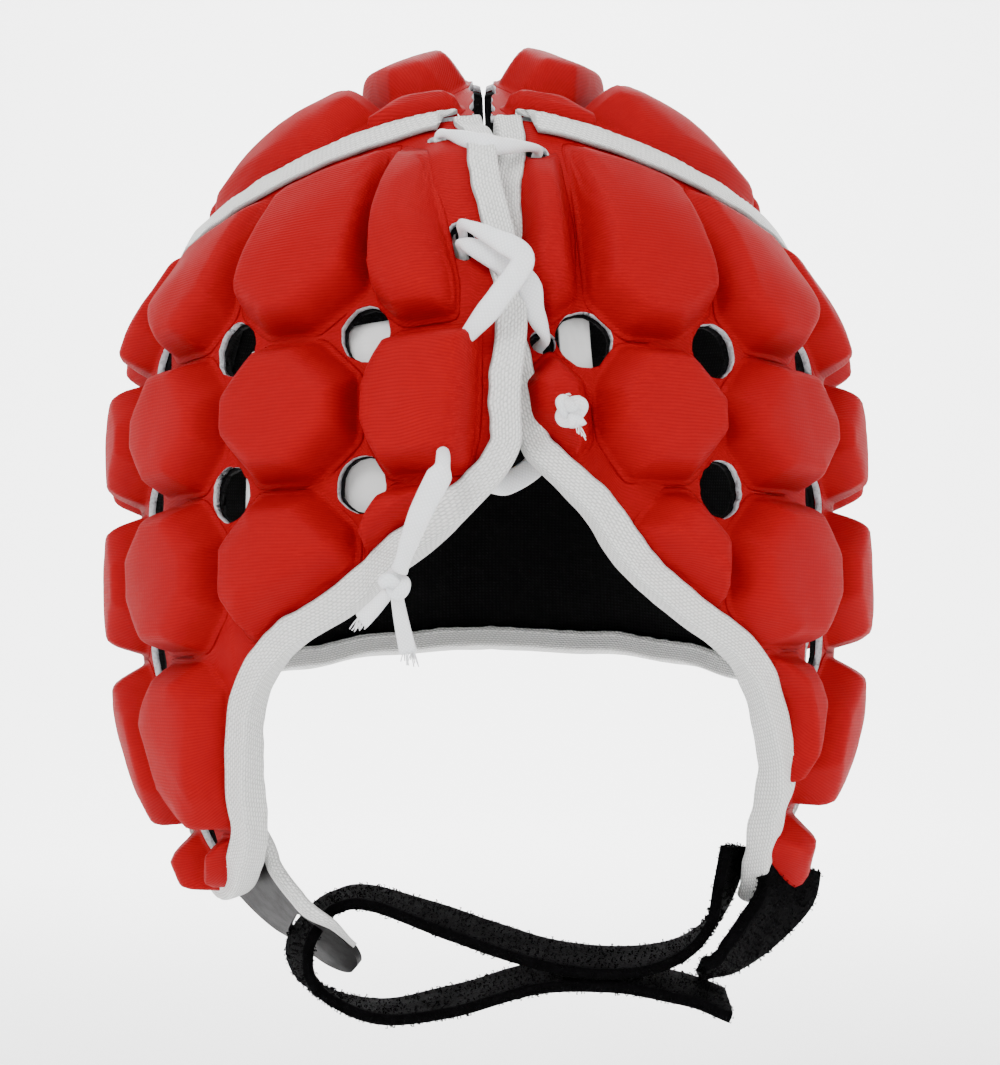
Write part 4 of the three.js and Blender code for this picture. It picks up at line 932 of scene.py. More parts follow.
def cut_foam(name, colour):
    """The raw edge of foam where a hole or a slot is cut."""
    n = Nodes(name)
    cells = n.node("ShaderNodeTexVoronoi", Scale=1 / 0.0007)
    n.link(n.place(), cells.inputs["Vector"])
    dirt = n.spread(n.noise(0.003, 3.0), 0.35, 0.7)
    # Painted shade: the colour is darker in the foam's pores, where the cell bump is low.
    tone = n.mix(n.spread(cells.outputs["Distance"], 0.1, 0.6), shade(colour, 0.55), colour)
    tone = n.mix(n.spread(dirt, 0, 1, 0, 0.5), tone, shade(colour, 0.6))
    return n.finish(tone, n.spread(dirt, 0, 1, 0.85, 0.95), n.bump(cells.outputs["Distance"], 0.0003, 0.8))


PAPER_GLOW = 0.25


def studio_paper(name, colour):
    n = Nodes(name)
    cloud = n.noise(0.4, 2.0)
    tone = n.mix(n.spread(cloud, 0.3, 0.7), shade(colour, 0.985), colour)
    return n.finish(tone, n.spread(cloud, 0.3, 0.7, 0.88, 0.94), Emission_Strength=PAPER_GLOW,
                    Emission_Color=(1, 1, 1, 1))


# Each finish: what makes it, the colour of the sidebar that it takes, and how much lighter it is.
FINISHES = {
    "red_fabric": (stretch_fabric, "fabric", 1), "black_lining": (knit_lining, "lining", 1),
    "white_tape": (woven_tape, "tape", 1), "white_lace": (lace_cloth, "lace", 1),
    "stitch_thread": (lace_cloth, "tape", 1.1), "black_strap": (loop_pile, "strap", 1),
    "grey_tab": (moulded_plastic, "tab", 1), "label_cloth": (label_satin, "label", 1),
    "cut_foam": (cut_foam, "foam", 1), "studio_paper": (studio_paper, "floor", 1),
}
MATERIALS = {}


def finish_of(name):
    """The finish with that name, made once."""
    if name not in MATERIALS:
        maker, colour, factor = FINISHES[name]
        MATERIALS[name] = maker(name, shade(getattr(bpy.context.scene.cap_colours, colour), factor))
    return MATERIALS[name]


# ---- Geometry Nodes --------------------------------------------------------------------------------------

class Tree:
    """A Geometry Nodes tree with named inputs that ends in Realize Instances and Set Material."""

    def __init__(self, name):
        self.tree = bpy.data.node_groups.new(name, "GeometryNodeTree")
        for way in ("INPUT", "OUTPUT"):
            self.tree.interface.new_socket("Geometry", in_out=way, socket_type="NodeSocketGeometry")
        self.start = self.tree.nodes.new("NodeGroupInput")
        self.end = self.tree.nodes.new("NodeGroupOutput")
        self.sockets = {}

    def input(self, name, kind, default=None):
        made = self.tree.interface.new_socket(name, in_out="INPUT", socket_type=kind)
        if default is not None:
            made.default_value = default
        self.sockets[name] = made.identifier
        return self.start.outputs[name]

    def node(self, kind, **values):
        made = self.tree.nodes.new(kind)
        for key, value in values.items():
            setattr(made, key, value)
        return made

    def link(self, *pairs):
        for source, target in pairs:
            self.tree.links.new(source, target)

    def close(self, instances, material):
        realize, paint = self.node("GeometryNodeRealizeInstances"), self.node("GeometryNodeSetMaterial")
        self.link((instances, realize.inputs[0]), (realize.outputs[0], paint.inputs["Geometry"]),
                  (material, paint.inputs["Material"]), (paint.outputs[0], self.end.inputs[0]))
        return self


STITCH_LENGTH = 1.9


def stitch_tree():
    """Stitches laid end to end along the lines of a wire mesh."""
    made = Tree("stitches")
    pitch = made.input("Stitch Pitch", "NodeSocketFloat", 0.0026)
    length = made.input("Stitch Length", "NodeSocketFloat", 0.0019)
    radius = made.input("Thread Radius", "NodeSocketFloat", 0.00026)
    material = made.input("Thread", "NodeSocketMaterial")
    curve = made.node("GeometryNodeMeshToCurve")
    spaced = made.node("GeometryNodeResampleCurve", mode="LENGTH")
    stand = made.node("GeometryNodeInstanceOnPoints")
    bead = made.node("GeometryNodeMeshUVSphere")
    bead.inputs["Segments"].default_value, bead.inputs["Rings"].default_value = 6, 4
    bead.inputs["Radius"].default_value = 1.0
    size = made.node("ShaderNodeCombineXYZ")
    half = made.node("ShaderNodeMath", operation="MULTIPLY")
    half.inputs[1].default_value = 0.5
    tangent = made.node("GeometryNodeInputTangent")
    turn = made.node("FunctionNodeAlignRotationToVector", axis="Z")
    made.link(
        (made.start.outputs["Geometry"], curve.inputs["Mesh"]), (curve.outputs[0], spaced.inputs["Curve"]),
        (pitch, spaced.inputs["Length"]), (spaced.outputs[0], stand.inputs["Points"]),
        (bead.outputs["Mesh"], stand.inputs["Instance"]), (tangent.outputs[0], turn.inputs["Vector"]),
        (turn.outputs[0], stand.inputs["Rotation"]), (length, half.inputs[0]), (radius, size.inputs[0]),
        (radius, size.inputs[1]), (half.outputs[0], size.inputs[2]),
        (size.outputs[0], stand.inputs["Scale"]),
    )
    return made.close(stand.outputs[0], material)


def pile_tree():
    """Small crooked fibres that stand all over a mesh."""
    made = Tree("pile")
    density = made.input("Fibres per Square Metre", "NodeSocketFloat", 300000.0)
    length = made.input("Fibre Length", "NodeSocketFloat", 0.0011)
    lean = made.input("Lean", "NodeSocketFloat", 0.9)
    seed = made.input("Seed", "NodeSocketInt", 3)
    material = made.input("Yarn", "NodeSocketMaterial")
    spread = made.node("GeometryNodeDistributePointsOnFaces", distribute_method="RANDOM")
    stand = made.node("GeometryNodeInstanceOnPoints")
    arc = made.node("GeometryNodeCurvePrimitiveBezierSegment")
    arc.inputs["Resolution"].default_value = 2
    for name, place in (("Start", (0, 0, -0.2)), ("Start Handle", (0.0, 0, 0.7)),
                        ("End Handle", (0.55, 0.1, 1.15)), ("End", (0.75, 0.3, 0.35))):
        arc.inputs[name].default_value = place
    ring = made.node("GeometryNodeCurvePrimitiveCircle")
    ring.inputs["Resolution"].default_value, ring.inputs["Radius"].default_value = 3, 0.2
    yarn = made.node("GeometryNodeCurveToMesh")
    yarn.inputs["Fill Caps"].default_value = True
    tilt = made.node("FunctionNodeRotateEuler", space="LOCAL")
    drawn = made.node("FunctionNodeRandomValue", data_type="FLOAT_VECTOR")
    drawn.inputs[0].default_value = (-1, -1, 0)
    drawn.inputs[1].default_value = (1, 1, 6.28)  # leans, and a whole turn
    leaned = made.node("ShaderNodeVectorMath", operation="MULTIPLY")
    three = made.node("ShaderNodeCombineXYZ")
    three.inputs[2].default_value = 1.0
    size = made.node("FunctionNodeRandomValue", data_type="FLOAT")
    size.inputs[2].default_value, size.inputs[3].default_value = 0.6, 1.25
    grown = made.node("ShaderNodeMath", operation="MULTIPLY")
    made.link(
        (made.start.outputs["Geometry"], spread.inputs["Mesh"]), (density, spread.inputs["Density"]),
        (seed, spread.inputs["Seed"]), (spread.outputs["Points"], stand.inputs["Points"]),
        (arc.outputs[0], yarn.inputs["Curve"]), (ring.outputs["Curve"], yarn.inputs["Profile Curve"]),
        (yarn.outputs[0], stand.inputs["Instance"]), (spread.outputs["Rotation"], tilt.inputs["Rotation"]),
        (lean, three.inputs[0]), (lean, three.inputs[1]), (three.outputs[0], leaned.inputs[1]),
        (drawn.outputs[0], leaned.inputs[0]), (seed, drawn.inputs["Seed"]),
        (leaned.outputs[0], tilt.inputs["Rotate By"]), (tilt.outputs[0], stand.inputs["Rotation"]),
        (seed, size.inputs["Seed"]), (size.outputs[1], grown.inputs[0]), (length, grown.inputs[1]),
        (grown.outputs[0], stand.inputs["Scale"]),
    )
    return made.close(stand.outputs[0], material)


def grown_from(name, tree, base, settings):
    """The plain mesh that a tree makes of a base mesh, as a new piece. The base is removed."""
    holder = linked(name + "_base", base)
    modifier = holder.modifiers.new("grown", "NODES")
    modifier.node_group = tree.tree
    for key, value in settings.items():
        modifier[tree.sockets[key]] = value
    bpy.context.view_layer.update()
    graph = bpy.context.evaluated_depsgraph_get()
    mesh = bpy.data.meshes.new_from_object(holder.evaluated_get(graph))
    holder.modifiers.remove(modifier)
    bpy.data.objects.remove(holder)
    if not mesh.polygons:
        raise RuntimeError(f"{name}: the tree made no faces")
    mesh.name = name
    return linked(name, mesh)


def wire_mesh(name, lines):
    """A mesh of edges alone, in metres, along lines in millimetres."""
    points, edges, count = [], [], 0
    for line in lines:
        points += (np.asarray(line) * MM).tolist()
        edges += [(count + i, count + i + 1) for i in range(len(line) - 1)]
        count += len(line)
    mesh = bpy.data.meshes.new(name)
    mesh.from_pydata(points, edges, [])
    return mesh


def make_stitches(name, lines):
    """Stitches on a white tape, a piece of their own."""
    sizes = bpy.context.scene.cap_sizes
    made = grown_from(name, stitch_tree(), wire_mesh(name, lines), {
        "Stitch Pitch": sizes.stitch_pitch, "Stitch Length": STITCH_LENGTH * MM,
        "Thread Radius": sizes.thread_radius, "Thread": finish_of("stitch_thread"),
    })
    dress(made, "white_tape")


# ---- bindings and tapes ----------------------------------------------------------------------------------

TAPE_THICK = 1.0
# A binding's inside faces as offsets from the lining, how deep it reaches and how far it stands out.
BINDING_NEAR, BINDING_FAR, BINDING_DEPTH, BINDING_LIP = -1.35, 3.35, 4.7, 1.6
TAPE_INNER, TAPE_OUTER, TAPE_DOME = WEB_OUTER + 0.45, WEB_OUTER + 0.5 + TAPE_THICK, 0.25
CROWN_TAPE_ENDS = (8.5, 171.5)
STITCH_LIFT, BINDING_STITCH_INSET, TAPE_STITCH_INSET = 0.1, 1.3, 1.1


def edge_path(name):
    """The front free edge and then the lower edge of a side panel, as a and b, rounded at the corner."""
    lower, surface = lower_of(name), WALLS[name]
    top = seam_drop(0.0) + SEAM_CLEARANCE
    front = np.stack((np.zeros(120), np.linspace(float(top), float(lower(0.0)), 120)), -1)
    azimuths = np.linspace(0.4, BACK_SEAM - BACK_SEAM_GAP, 420)
    below = np.stack((azimuths, lower(azimuths)), -1)
    path = np.concatenate((front, below))
    measure = surface.point(path[:, 0], path[:, 1])
    path = resampled(path, 340, measure=measure)
    spacing = np.linalg.norm(np.diff(surface.point(path[:, 0], path[:, 1]), axis=0), axis=1).mean()
    return smooth_along(path, 2.4 / spacing)


def binding_section():
    """The folded tape's outline: across (negative is inwards from the edge) and offset from the wall."""
    far, near, lip = BINDING_FAR + TAPE_THICK, BINDING_NEAR - TAPE_THICK, BINDING_LIP
    middle, reach = (far + near) / 2, (far - near) / 2
    turn = np.linspace(np.pi / 2, -np.pi / 2, 13)
    bulge = [(lip - 1.25 + 1.25 * math.cos(t) ** 0.7,
              middle + reach * math.copysign(abs(math.sin(t)) ** 0.55, math.sin(t))) for t in turn]
    outer = [(x, far + 0.12 * math.sin(x * 1.3)) for x in np.linspace(-BINDING_DEPTH + 0.3, lip - 1.5, 6)]
    inner = [(x, near) for x in np.linspace(lip - 1.5, -BINDING_DEPTH + 0.3, 6)]
    hem_in = [(-BINDING_DEPTH, near + 0.3), (-BINDING_DEPTH + 0.1, near + TAPE_THICK)]
    hollow = [(0.2, near + TAPE_THICK), (0.45, 0.0), (0.45, WEB_OUTER - 0.6), (0.2, BINDING_FAR)]
    hem_out = [(-BINDING_DEPTH + 0.1, BINDING_FAR - 0.25), (-BINDING_DEPTH, far - 0.35)]
    return np.array(outer + bulge[1:-1] + inner + hem_in + hollow + hem_out)


def binding_frames(surface, path, turn):
    """The edge's points, and the directions outwards from the wall and away from the panel there."""
    points = surface.point(path[:, 0], path[:, 1])
    along = unit(np.gradient(points, axis=0))
    out = surface.normal(path[:, 0], path[:, 1])
    return points, out, unit(np.cross(out, along) * turn)


def binding_at(surface, path, frames, across, offset):
    """Points of the binding, for across and offset grids of path by section."""
    away = frames[2]
    step_a, step_b = surface.step(path[:, 0], path[:, 1], away)
    inward = np.minimum(across, 0)
    a, b = path[:, :1] + step_a[:, None] * inward, path[:, 1:] + step_b[:, None] * inward
    on_wall = surface.at(a, b, offset)
    return on_wall + np.maximum(across, 0)[..., None] * away[:, None]


def make_binding(name, surface, path, turn, seed):
    """A folded tape that sways a little along an edge, stitched on both faces."""
    section = binding_section()
    frames = binding_frames(surface, path, turn)
    length = run_length(frames[0])
    wave = 0.42 * ripple(length, 0, seed, 26)[:, None]
    pucker = ripple(length, 0, seed + 1, 5.2)[:, None]
    sway = 0.22 * ripple(length, 0, seed + 2, 11)[:, None] + 0.1 * pucker
    across = section[None, :, 0] + wave + 0.13 * pucker * (section[None, :, 0] < -1)
    offset = section[None, :, 1] + np.clip((section[None, :, 1] - 1) / 3, -1, 1) * sway
    rings = binding_at(surface, path, frames, across, offset)
    build = Build()
    loft_part(build, rings, length[:, None], run_length(section)[None])
    build.piece(name, "white_tape")
    flat = np.full((len(path), 1), -BINDING_DEPTH + BINDING_STITCH_INSET) + wave
    faces = ((BINDING_FAR + TAPE_THICK + 0.12, 1), (BINDING_NEAR - TAPE_THICK - STITCH_LIFT, -1))
    lines = [binding_at(surface, path, frames, flat, face + sign * sway)[:, 0] for face, sign in faces]
    make_stitches(name + "_stitches", lines)


def make_tape(name, points_of):
    """A flat domed tape, stitched along both edges. points_of(across, offset) gives path by across."""
    across = np.linspace(-TAPE_WIDTH / 2, TAPE_WIDTH / 2, 13)
    top = points_of(across, TAPE_OUTER + TAPE_DOME * (1 - (across / across.max()) ** 2))
    rings = np.concatenate((top, points_of(across, TAPE_INNER)[:, ::-1]), axis=1)
    around = np.concatenate((across, across[::-1] + 2 * across.max() + 1))
    build = Build()
    loft_part(build, rings, run_length(top[:, len(across) // 2])[:, None], around[None])
    build.piece(name, "white_tape")
    edges = np.array((-TAPE_WIDTH / 2 + TAPE_STITCH_INSET, TAPE_WIDTH / 2 - TAPE_STITCH_INSET))
    rows = points_of(edges, TAPE_OUTER + STITCH_LIFT)
    make_stitches(name + "_stitches", [rows[:, 0], rows[:, 1]])


def crown_tape_points(name, azimuths, across, offset):
    """Points over the crown seam, where across is below the seam when negative."""
    wall, crown = WALLS[name], CROWNS[name]
    rib = crown_rib(crown, azimuths)
    a = np.repeat(azimuths[:, None], len(across), axis=1)
    drop = seam_drop(a) + np.maximum(-across, 0)[None]
    rise = np.maximum(across, 0)[None] / rib[:, None]
    below = across[None, :, None] < 0
    base = np.where(below, wall.point(a, drop), crown.point(a, rise))
    mix = smoothstep(across, -2.2, 2.2)[None, :, None]
    normals = unit(lerp(wall.normal(a, drop), crown.normal(a, rise), mix))
    return base + normals * np.broadcast_to(offset, a.shape)[..., None]


def make_crown_tape(name):
    azimuths = np.linspace(*CROWN_TAPE_ENDS, 190)
    wobble = 0.25 * ripple(azimuths * 1.4, 0, 11 + SIDES[name]["x"], 9)[:, None] * 0.4
    make_tape("crown_tape_" + name,
              lambda across, offset: crown_tape_points(name, azimuths, across, offset + wobble))


def make_back_tape(name):
    bottom = float(lower_of(name)(BACK_SEAM)) - BINDING_DEPTH - 1
    drops = np.linspace(float(seam_drop(BACK_SEAM)) + TAPE_WIDTH / 2 + 1, bottom, 70)

    def points_of(across, offset):
        b = np.repeat(drops[:, None], len(across), axis=1)
        a = BACK_SEAM + across[None] / BACK_SEAM_DEGREE + 0 * b
        return WALLS[name].at(a, b, np.broadcast_to(offset, b.shape))

    make_tape("back_tape_" + name, points_of)


# ---- lace ------------------------------------------------------------------------------------------------

def spot(row):
    """The place that a row's shares of the half width, front reach and CROWN_TO_FLAP give."""
    return np.array((row[0] * HALF_WIDTH, -row[1] * FRONT_REACH, -row[2] * CROWN_TO_FLAP))


def catmull(points, count):
    """A centripetal Catmull-Rom curve through points, evenly spaced along its length."""
    points = np.asarray(points, float)
    points = np.concatenate((2 * points[:1] - points[1:2], points, 2 * points[-1:] - points[-2:-1]))
    knots = np.concatenate(([0], np.cumsum(np.linalg.norm(np.diff(points, axis=0), axis=1) ** 0.5)))
    made = []
    for i in range(1, len(points) - 2):
        t = np.linspace(knots[i], knots[i + 1], 24, endpoint=False)[:, None]
        p, k = points[i - 1:i + 3], knots[i - 1:i + 3]

        def blend(a, b, low, high):
            return (high - t) / (high - low) * a + (t - low) / (high - low) * b

        a1, a2, a3 = (blend(p[j], p[j + 1], k[j], k[j + 1]) for j in range(3))
        made.append(blend(blend(a1, a2, k[0], k[2]), blend(a2, a3, k[1], k[3]), k[1], k[2]))
    return resampled(np.concatenate((*made, points[-2:-1])), count)


def lace_line(count):
    """The lace's middle line, which turns well clear of the web at each eyelet."""
    points = []
    for row in LACE_ROUTE:
        if isinstance(row[0], str):
            side, number, inwards, slide = row
            azimuth, share, _ = EYELETS[side][number]
            offsets = (LACE_TURNS.get((side, number), LACE_OUTSIDE), WEB_OUTER / 2, LACE_INSIDE)
            for offset in offsets if inwards else offsets[::-1]:
                points.append(WALLS[side].at(azimuth, share * CROWN_TO_FLAP, offset) + (0, 0, slide))
        else:
            points.append(spot(row))
    return catmull(points, count)


def tube_part(build, line, across, over, sides=14):
    """A tube with an oval section along a line. across and over are half sizes at each point; the flat side
    faces away from the head."""
    along = unit(np.gradient(line, axis=0))
    out = unit(line * (1, 1, 0))
    side = np.cross(along, out)
    good = np.linalg.norm(side, axis=1) > 0.35
    side = unit(side)
    for i in range(1, len(side)):
        carried = side[i - 1] - along[i] * (side[i - 1] @ along[i])
        carried /= max(np.linalg.norm(carried), 1e-9)
        if side[i] @ carried < 0:
            side[i] = -side[i]
        side[i] = unit(carried * 0.8 + side[i] * 0.2) if good[i] else carried
    side = unit(side - along * (side * along).sum(-1, keepdims=True))
    up = np.cross(side, along)
    turn = np.linspace(0, 2 * np.pi, sides, endpoint=False)
    rings = (line[:, None] + side[:, None] * (np.cos(turn)[None, :, None] * across[:, None, None])
             + up[:, None] * (np.sin(turn)[None, :, None] * over[:, None, None]))
    loft_part(build, rings, run_length(line)[:, None], (turn * across.mean())[None])


def make_lace():
    """The lace, flatter where it runs along the web and pinched where it goes through it, and its knots."""
    line = lace_line(620)
    along = unit(np.gradient(line, axis=0))
    out = unit(line * (1, 1, 0))
    tangential = smoothstep(1 - np.abs((along * out).sum(-1)), 0.25, 0.75)
    length = run_length(line)
    noise = ripple(length, 0, 5, 14)
    passed = [(row[0], *EYELETS[row[0]][row[1]][:2]) for row in LACE_ROUTE if isinstance(row[0], str)]
    holes = np.array([WALLS[side].at(a, share * CROWN_TO_FLAP, WEB_OUTER) for side, a, share in passed])
    apart = np.linalg.norm(line[:, None] - holes[None], axis=-1).min(axis=1)
    pinch = lerp(0.62, 1.0, smoothstep(apart, 2, 10))
    across = (lerp(1.5, 2.5, tangential) + 0.1 * noise) * pinch
    over = (lerp(1.5, 1.2, tangential) - 0.05 * noise) * lerp(0.5, 1, pinch)
    build = Build()
    tube_part(build, line, across, over)
    lace = build.piece("lace", "white_lace")
    knots = [make_knot("lace_knot_right", line[0], line[0] - line[6], 21, 15.0),
             make_knot("lace_knot_left", line[-1], line[-1] - line[-7], 22, 3.6)]


KNOT_SIZE, KNOT_SCALE, FRAY_THICK = 8.0, 0.78, 0.13


def make_knot(name, end, away, seed, tail):
    """An overhand knot pulled tight, with the lace's cut and frayed ends."""
    away = unit(away)
    centre = end + away * (KNOT_SIZE / 2 - 0.6)
    side = unit(np.cross(away, (0.2, 1.0, 0.1)))
    up = np.cross(away, side)
    turn = np.linspace(0, 2 * np.pi, 150, endpoint=False)
    knot = (np.outer(np.sin(turn) + 2 * np.sin(2 * turn), side)
            + np.outer(np.cos(turn) - 2 * np.cos(2 * turn), up) - np.outer(np.sin(3 * turn), away) * 1.5)
    line = centre + knot * KNOT_SCALE
    build = Build()
    size = 1.45 + 0.18 * np.sin(turn * 5 + seed)
    closed = np.concatenate((line, line[:1]))
    tube_part(build, closed, np.append(size, size[0]), np.append(size * 0.86, size[0] * 0.86), 12)
    draw = np.random.default_rng(seed)
    for k, spread in enumerate((-0.5, 0.55)):
        way = unit(away + side * spread + up * draw.uniform(-0.2, 0.2) + np.array((0, 0, -0.35)))
        steps = np.linspace(0, 1, 16)[:, None]
        path = centre + way * (2.0 + tail * (0.62 + 0.22 * k) * steps) + side * (spread * 1.6 * steps ** 2)
        flat = lerp(1.3, 1.9, steps[:, 0])
        tube_part(build, path, flat, lerp(1.2, 0.7, steps[:, 0]), 12)
        for _ in range(16 if tail > 8 else 7):
            start = path[-1] + side * draw.uniform(-1.2, 1.2) + up * draw.uniform(-0.6, 0.6)
            reach = unit(way + side * draw.uniform(-0.5, 0.5) + up * draw.uniform(-0.5, 0.5))
            reach = reach * draw.uniform(1.2, 3.2)
            strand = np.linspace(0, 1, 5)[:, None]
            thread = start - way * 0.8 + reach * strand + np.array((0, 0, -0.8)) * strand ** 2
            thin = np.full(5, FRAY_THICK)
            tube_part(build, thread, thin, thin, 5)
    return build.piece(name, "white_lace")


# ---- straps, tab and labels ------------------------------------------------------------------------------

def band_frames(rows, count):
    """Centres, up and wide directions along a band, and each point's share of the way between the rows."""
    points = np.array([spot(row) for row in rows])
    ends = np.concatenate((2 * points[:1] - points[1:2], points, 2 * points[-1:] - points[-2:-1]))
    place = np.linspace(0, len(rows) - 1, count)
    i = np.minimum(place.astype(int), len(rows) - 2)
    t = (place - i)[:, None]
    p0, p1, p2, p3 = ends[i], ends[i + 1], ends[i + 2], ends[i + 3]
    centre = 0.5 * (2 * p1 + (p2 - p0) * t + (2 * p0 - 5 * p1 + 4 * p2 - p3) * t ** 2
                    + (3 * p1 - p0 - 3 * p2 + p3) * t ** 3)
    along = unit(np.gradient(centre, axis=0))
    turn, tilt = (np.radians(np.interp(place, range(len(rows)), [row[k] for row in rows])) for k in (3, 4))
    up = unit(np.cross(along, np.stack((np.sin(turn), np.cos(turn), np.tan(tilt)), -1)))
    return centre, along, up, np.cross(up, along)


def make_band(name, rows, count, width, thick, seed, density):
    """A flat band with rounded edges, and a piece of loops that stand all over it."""
    centre, _, up, wide = band_frames(rows, count)
    length = run_length(centre)
    half = width / 2
    flat = np.linspace(-half + BAND_EDGE, half - BAND_EDGE, 11)
    arc = np.linspace(-np.pi / 2, np.pi / 2, 7)
    right = np.stack((half - BAND_EDGE + BAND_EDGE * np.cos(arc), thick / 2 * np.sin(arc)), -1)
    section = np.concatenate((
        np.stack((flat, np.full(11, -thick / 2)), -1), right[1:-1],
        np.stack((flat[::-1], np.full(11, thick / 2)), -1), (-right)[1:-1],
    ))
    wobble = ripple(length, 0, seed, 22)[:, None] * 0.3
    x = section[None, :, 0] * (1 + 0.012 * wobble)
    y = section[None, :, 1] + 0.12 * ripple(length[:, None], section[None, :, 0], seed + 1, 15)
    rings = centre[:, None] + wide[:, None] * x[..., None] + up[:, None] * y[..., None]
    build = Build()
    loft_part(build, rings, length[:, None], run_length(section)[None])
    band = build.piece(name, "black_strap")
    pile = grown_from(name + "_loops", pile_tree(), band.data.copy(), {
        "Fibres per Square Metre": density, "Fibre Length": bpy.context.scene.cap_sizes.pile_length,
        "Lean": 0.9, "Seed": seed, "Yarn": finish_of("black_strap"),
    })
    dress(pile, "black_strap")


def make_tab_plate():
    """The flexible tab with its slot, narrowed to a rounded tip."""
    rows, columns, squareness = 90, 40, 5.0
    centre, _, up, wide = band_frames(TAB_ROWS, rows)
    length = run_length(centre)
    at = length[np.argmin(np.linalg.norm(centre - spot(TAB_SLOT_PLACE), axis=1))]
    s = np.repeat(length[:, None], columns, axis=1)
    tip = length[-1]
    taper = 1 - 0.34 * smoothstep(length, tip - 14, tip)
    rounding = np.sqrt(np.clip(1 - np.clip((length - tip + 7) / 7.001, 0, 1) ** 2, 0.02, 1))
    w = np.linspace(-1, 1, columns)[None] * (TAB_WIDTH / 2) * (taper * lerp(0.2, 1, rounding))[:, None]
    x, y = (s - at) / (TAB_SLOT_LENGTH / 2), w / (TAB_SLOT_WIDTH / 2)
    r = (np.abs(x) ** squareness + np.abs(y) ** squareness) ** (1 / squareness)
    inside = r < 1
    grow = np.where(inside, 1 / np.maximum(r, 1e-3), 1)
    s = np.where(inside, at + x * grow * TAB_SLOT_LENGTH / 2, s)
    w = np.where(inside, y * grow * TAB_SLOT_WIDTH / 2, w)
    faces = grid_faces(rows, columns)
    faces = faces[~inside.ravel()[faces].all(axis=1)]

    def place(offset):
        base, over, across = (np.stack([np.interp(s, length, way[:, k]) for k in range(3)], -1)
                              for way in (centre, up, wide))
        return base + over * offset + across * w[..., None]

    build = Build()
    uv = np.stack((s, w), -1).reshape(-1, 2)
    slab_part(build, faces, place(TAB_THICK / 2), place(-TAB_THICK / 2), uv)
    build.piece("strap_tab", "grey_tab", smooth=False)


def make_tab_trim():
    """White tape folded over the tab's front edge, down to just short of its tip."""
    centre, _, up, wide = (values[:TRIM_LENGTH] for values in band_frames(TAB_ROWS, TRIM_STEPS))
    length = run_length(centre)
    shift = (TAB_WIDTH + TRIM_THICK) / 2 + 0.1
    sign = -1 if wide[:, 1].mean() > 0 else 1
    taper = 1 - 0.3 * smoothstep(length, length[-1] - 9, length[-1])
    line = centre + wide * (sign * shift * taper)[:, None]
    turn = np.linspace(0, 2 * np.pi, 20, endpoint=False)
    across, over = (np.sign(way) * np.abs(way) ** 0.6 * size / 2
                    for way, size in ((np.cos(turn), TRIM_THICK), (np.sin(turn), TRIM_WIDTH)))
    size = lerp(1.0, 0.25, smoothstep(length, length[-1] - 14, length[-1]))
    over = (over[None] * size[:, None])[..., None]
    rings = line[:, None] + wide[:, None] * across[None, :, None] + up[:, None] * over
    build = Build()
    loft_part(build, rings, length[:, None], (turn * 2.3)[None])
    build.piece("tab_trim", "white_tape")


LABEL_FACES, HEM_FACES = (-1.7, -1.35), (-2.15, -1.75)  # offsets from the lining's inner face
# Each label: side, start and end azimuth, top and bottom drop share, and how far it slopes.
LABELS = {
    "care_label": ("right", 14, 40, 0.347, 0.555, 0.02),
    "size_label": ("left", 9.5, 15.5, 0.317, 0.416, 0.0),
}


def make_label(name):
    """A blank satin label with a folded hem at each end."""
    side, start, end, top, bottom, lean = LABELS[name]

    def patch(t, s):
        return lerp(start, end, t), (lerp(top, bottom, s) + lean * (t - 0.5)) * CROWN_TO_FLAP

    t, s = np.meshgrid(np.linspace(0, 1, 40), np.linspace(0, 1, 34), indexing="ij")
    lift = 0.22 * ripple(t * 30, s * 30, len(name), 14) * np.sin(np.pi * t)
    build = Build()
    sheet_part(build, WALLS[side], *patch(t, s), *LABEL_FACES, ruffle=lift - 0.1)
    for low, high in ((0.0, 0.1), (0.9, 1.0)):
        hem = patch(*np.meshgrid(np.linspace(low, high, 6), np.linspace(0, 1, 30), indexing="ij"))
        sheet_part(build, WALLS[side], *hem, *HEM_FACES)
    build.piece(name, "label_cloth")


# ---- panels ----------------------------------------------------------------------------------------------

PANEL_SEEDS = {
    "side_right_panel": 100, "side_left_panel": 300, "back_panel": 500, "crown_right_panel": 700,
    "crown_left_panel": 800,
}


def make_panel(piece, surface, grid, ruffle, holes, outlines, taper=wall_taper):
    """A padded panel: a web with holes on a grid, and a pad on each outline."""
    sizes = bpy.context.scene.cap_sizes
    build = Build()
    sheet_part(build, surface, *grid, WEB_INNER, WEB_OUTER, holes, ruffle, edge_mark=1)
    for k, outline in enumerate(outlines):
        seed = PANEL_SEEDS[piece] + 2 * k
        pad_part(build, surface, outline, sizes.pad_rise / MM, sizes.shoulder / MM, seed, taper)
    made = build.piece(piece, "red_fabric", "cut_foam")


def make_side_panel(name):
    a, b = wall_grid(side_azimuths(150), lower_of(name), 112)
    make_panel(f"side_{name}_panel", WALLS[name], (a, b), 0.1 * ripple(a * 1.4, b, 31, 13),
               side_holes(name), side_pad_outlines(name, bpy.context.scene.cap_sizes))


def make_back_panel():
    a, b = wall_grid(back_azimuths(150), back_lower, 78)
    make_panel("back_panel", BACK, (a, b), 0.1 * ripple(a * 1.4, b, 33, 13), back_holes(),
               back_pad_outlines(bpy.context.scene.cap_sizes))


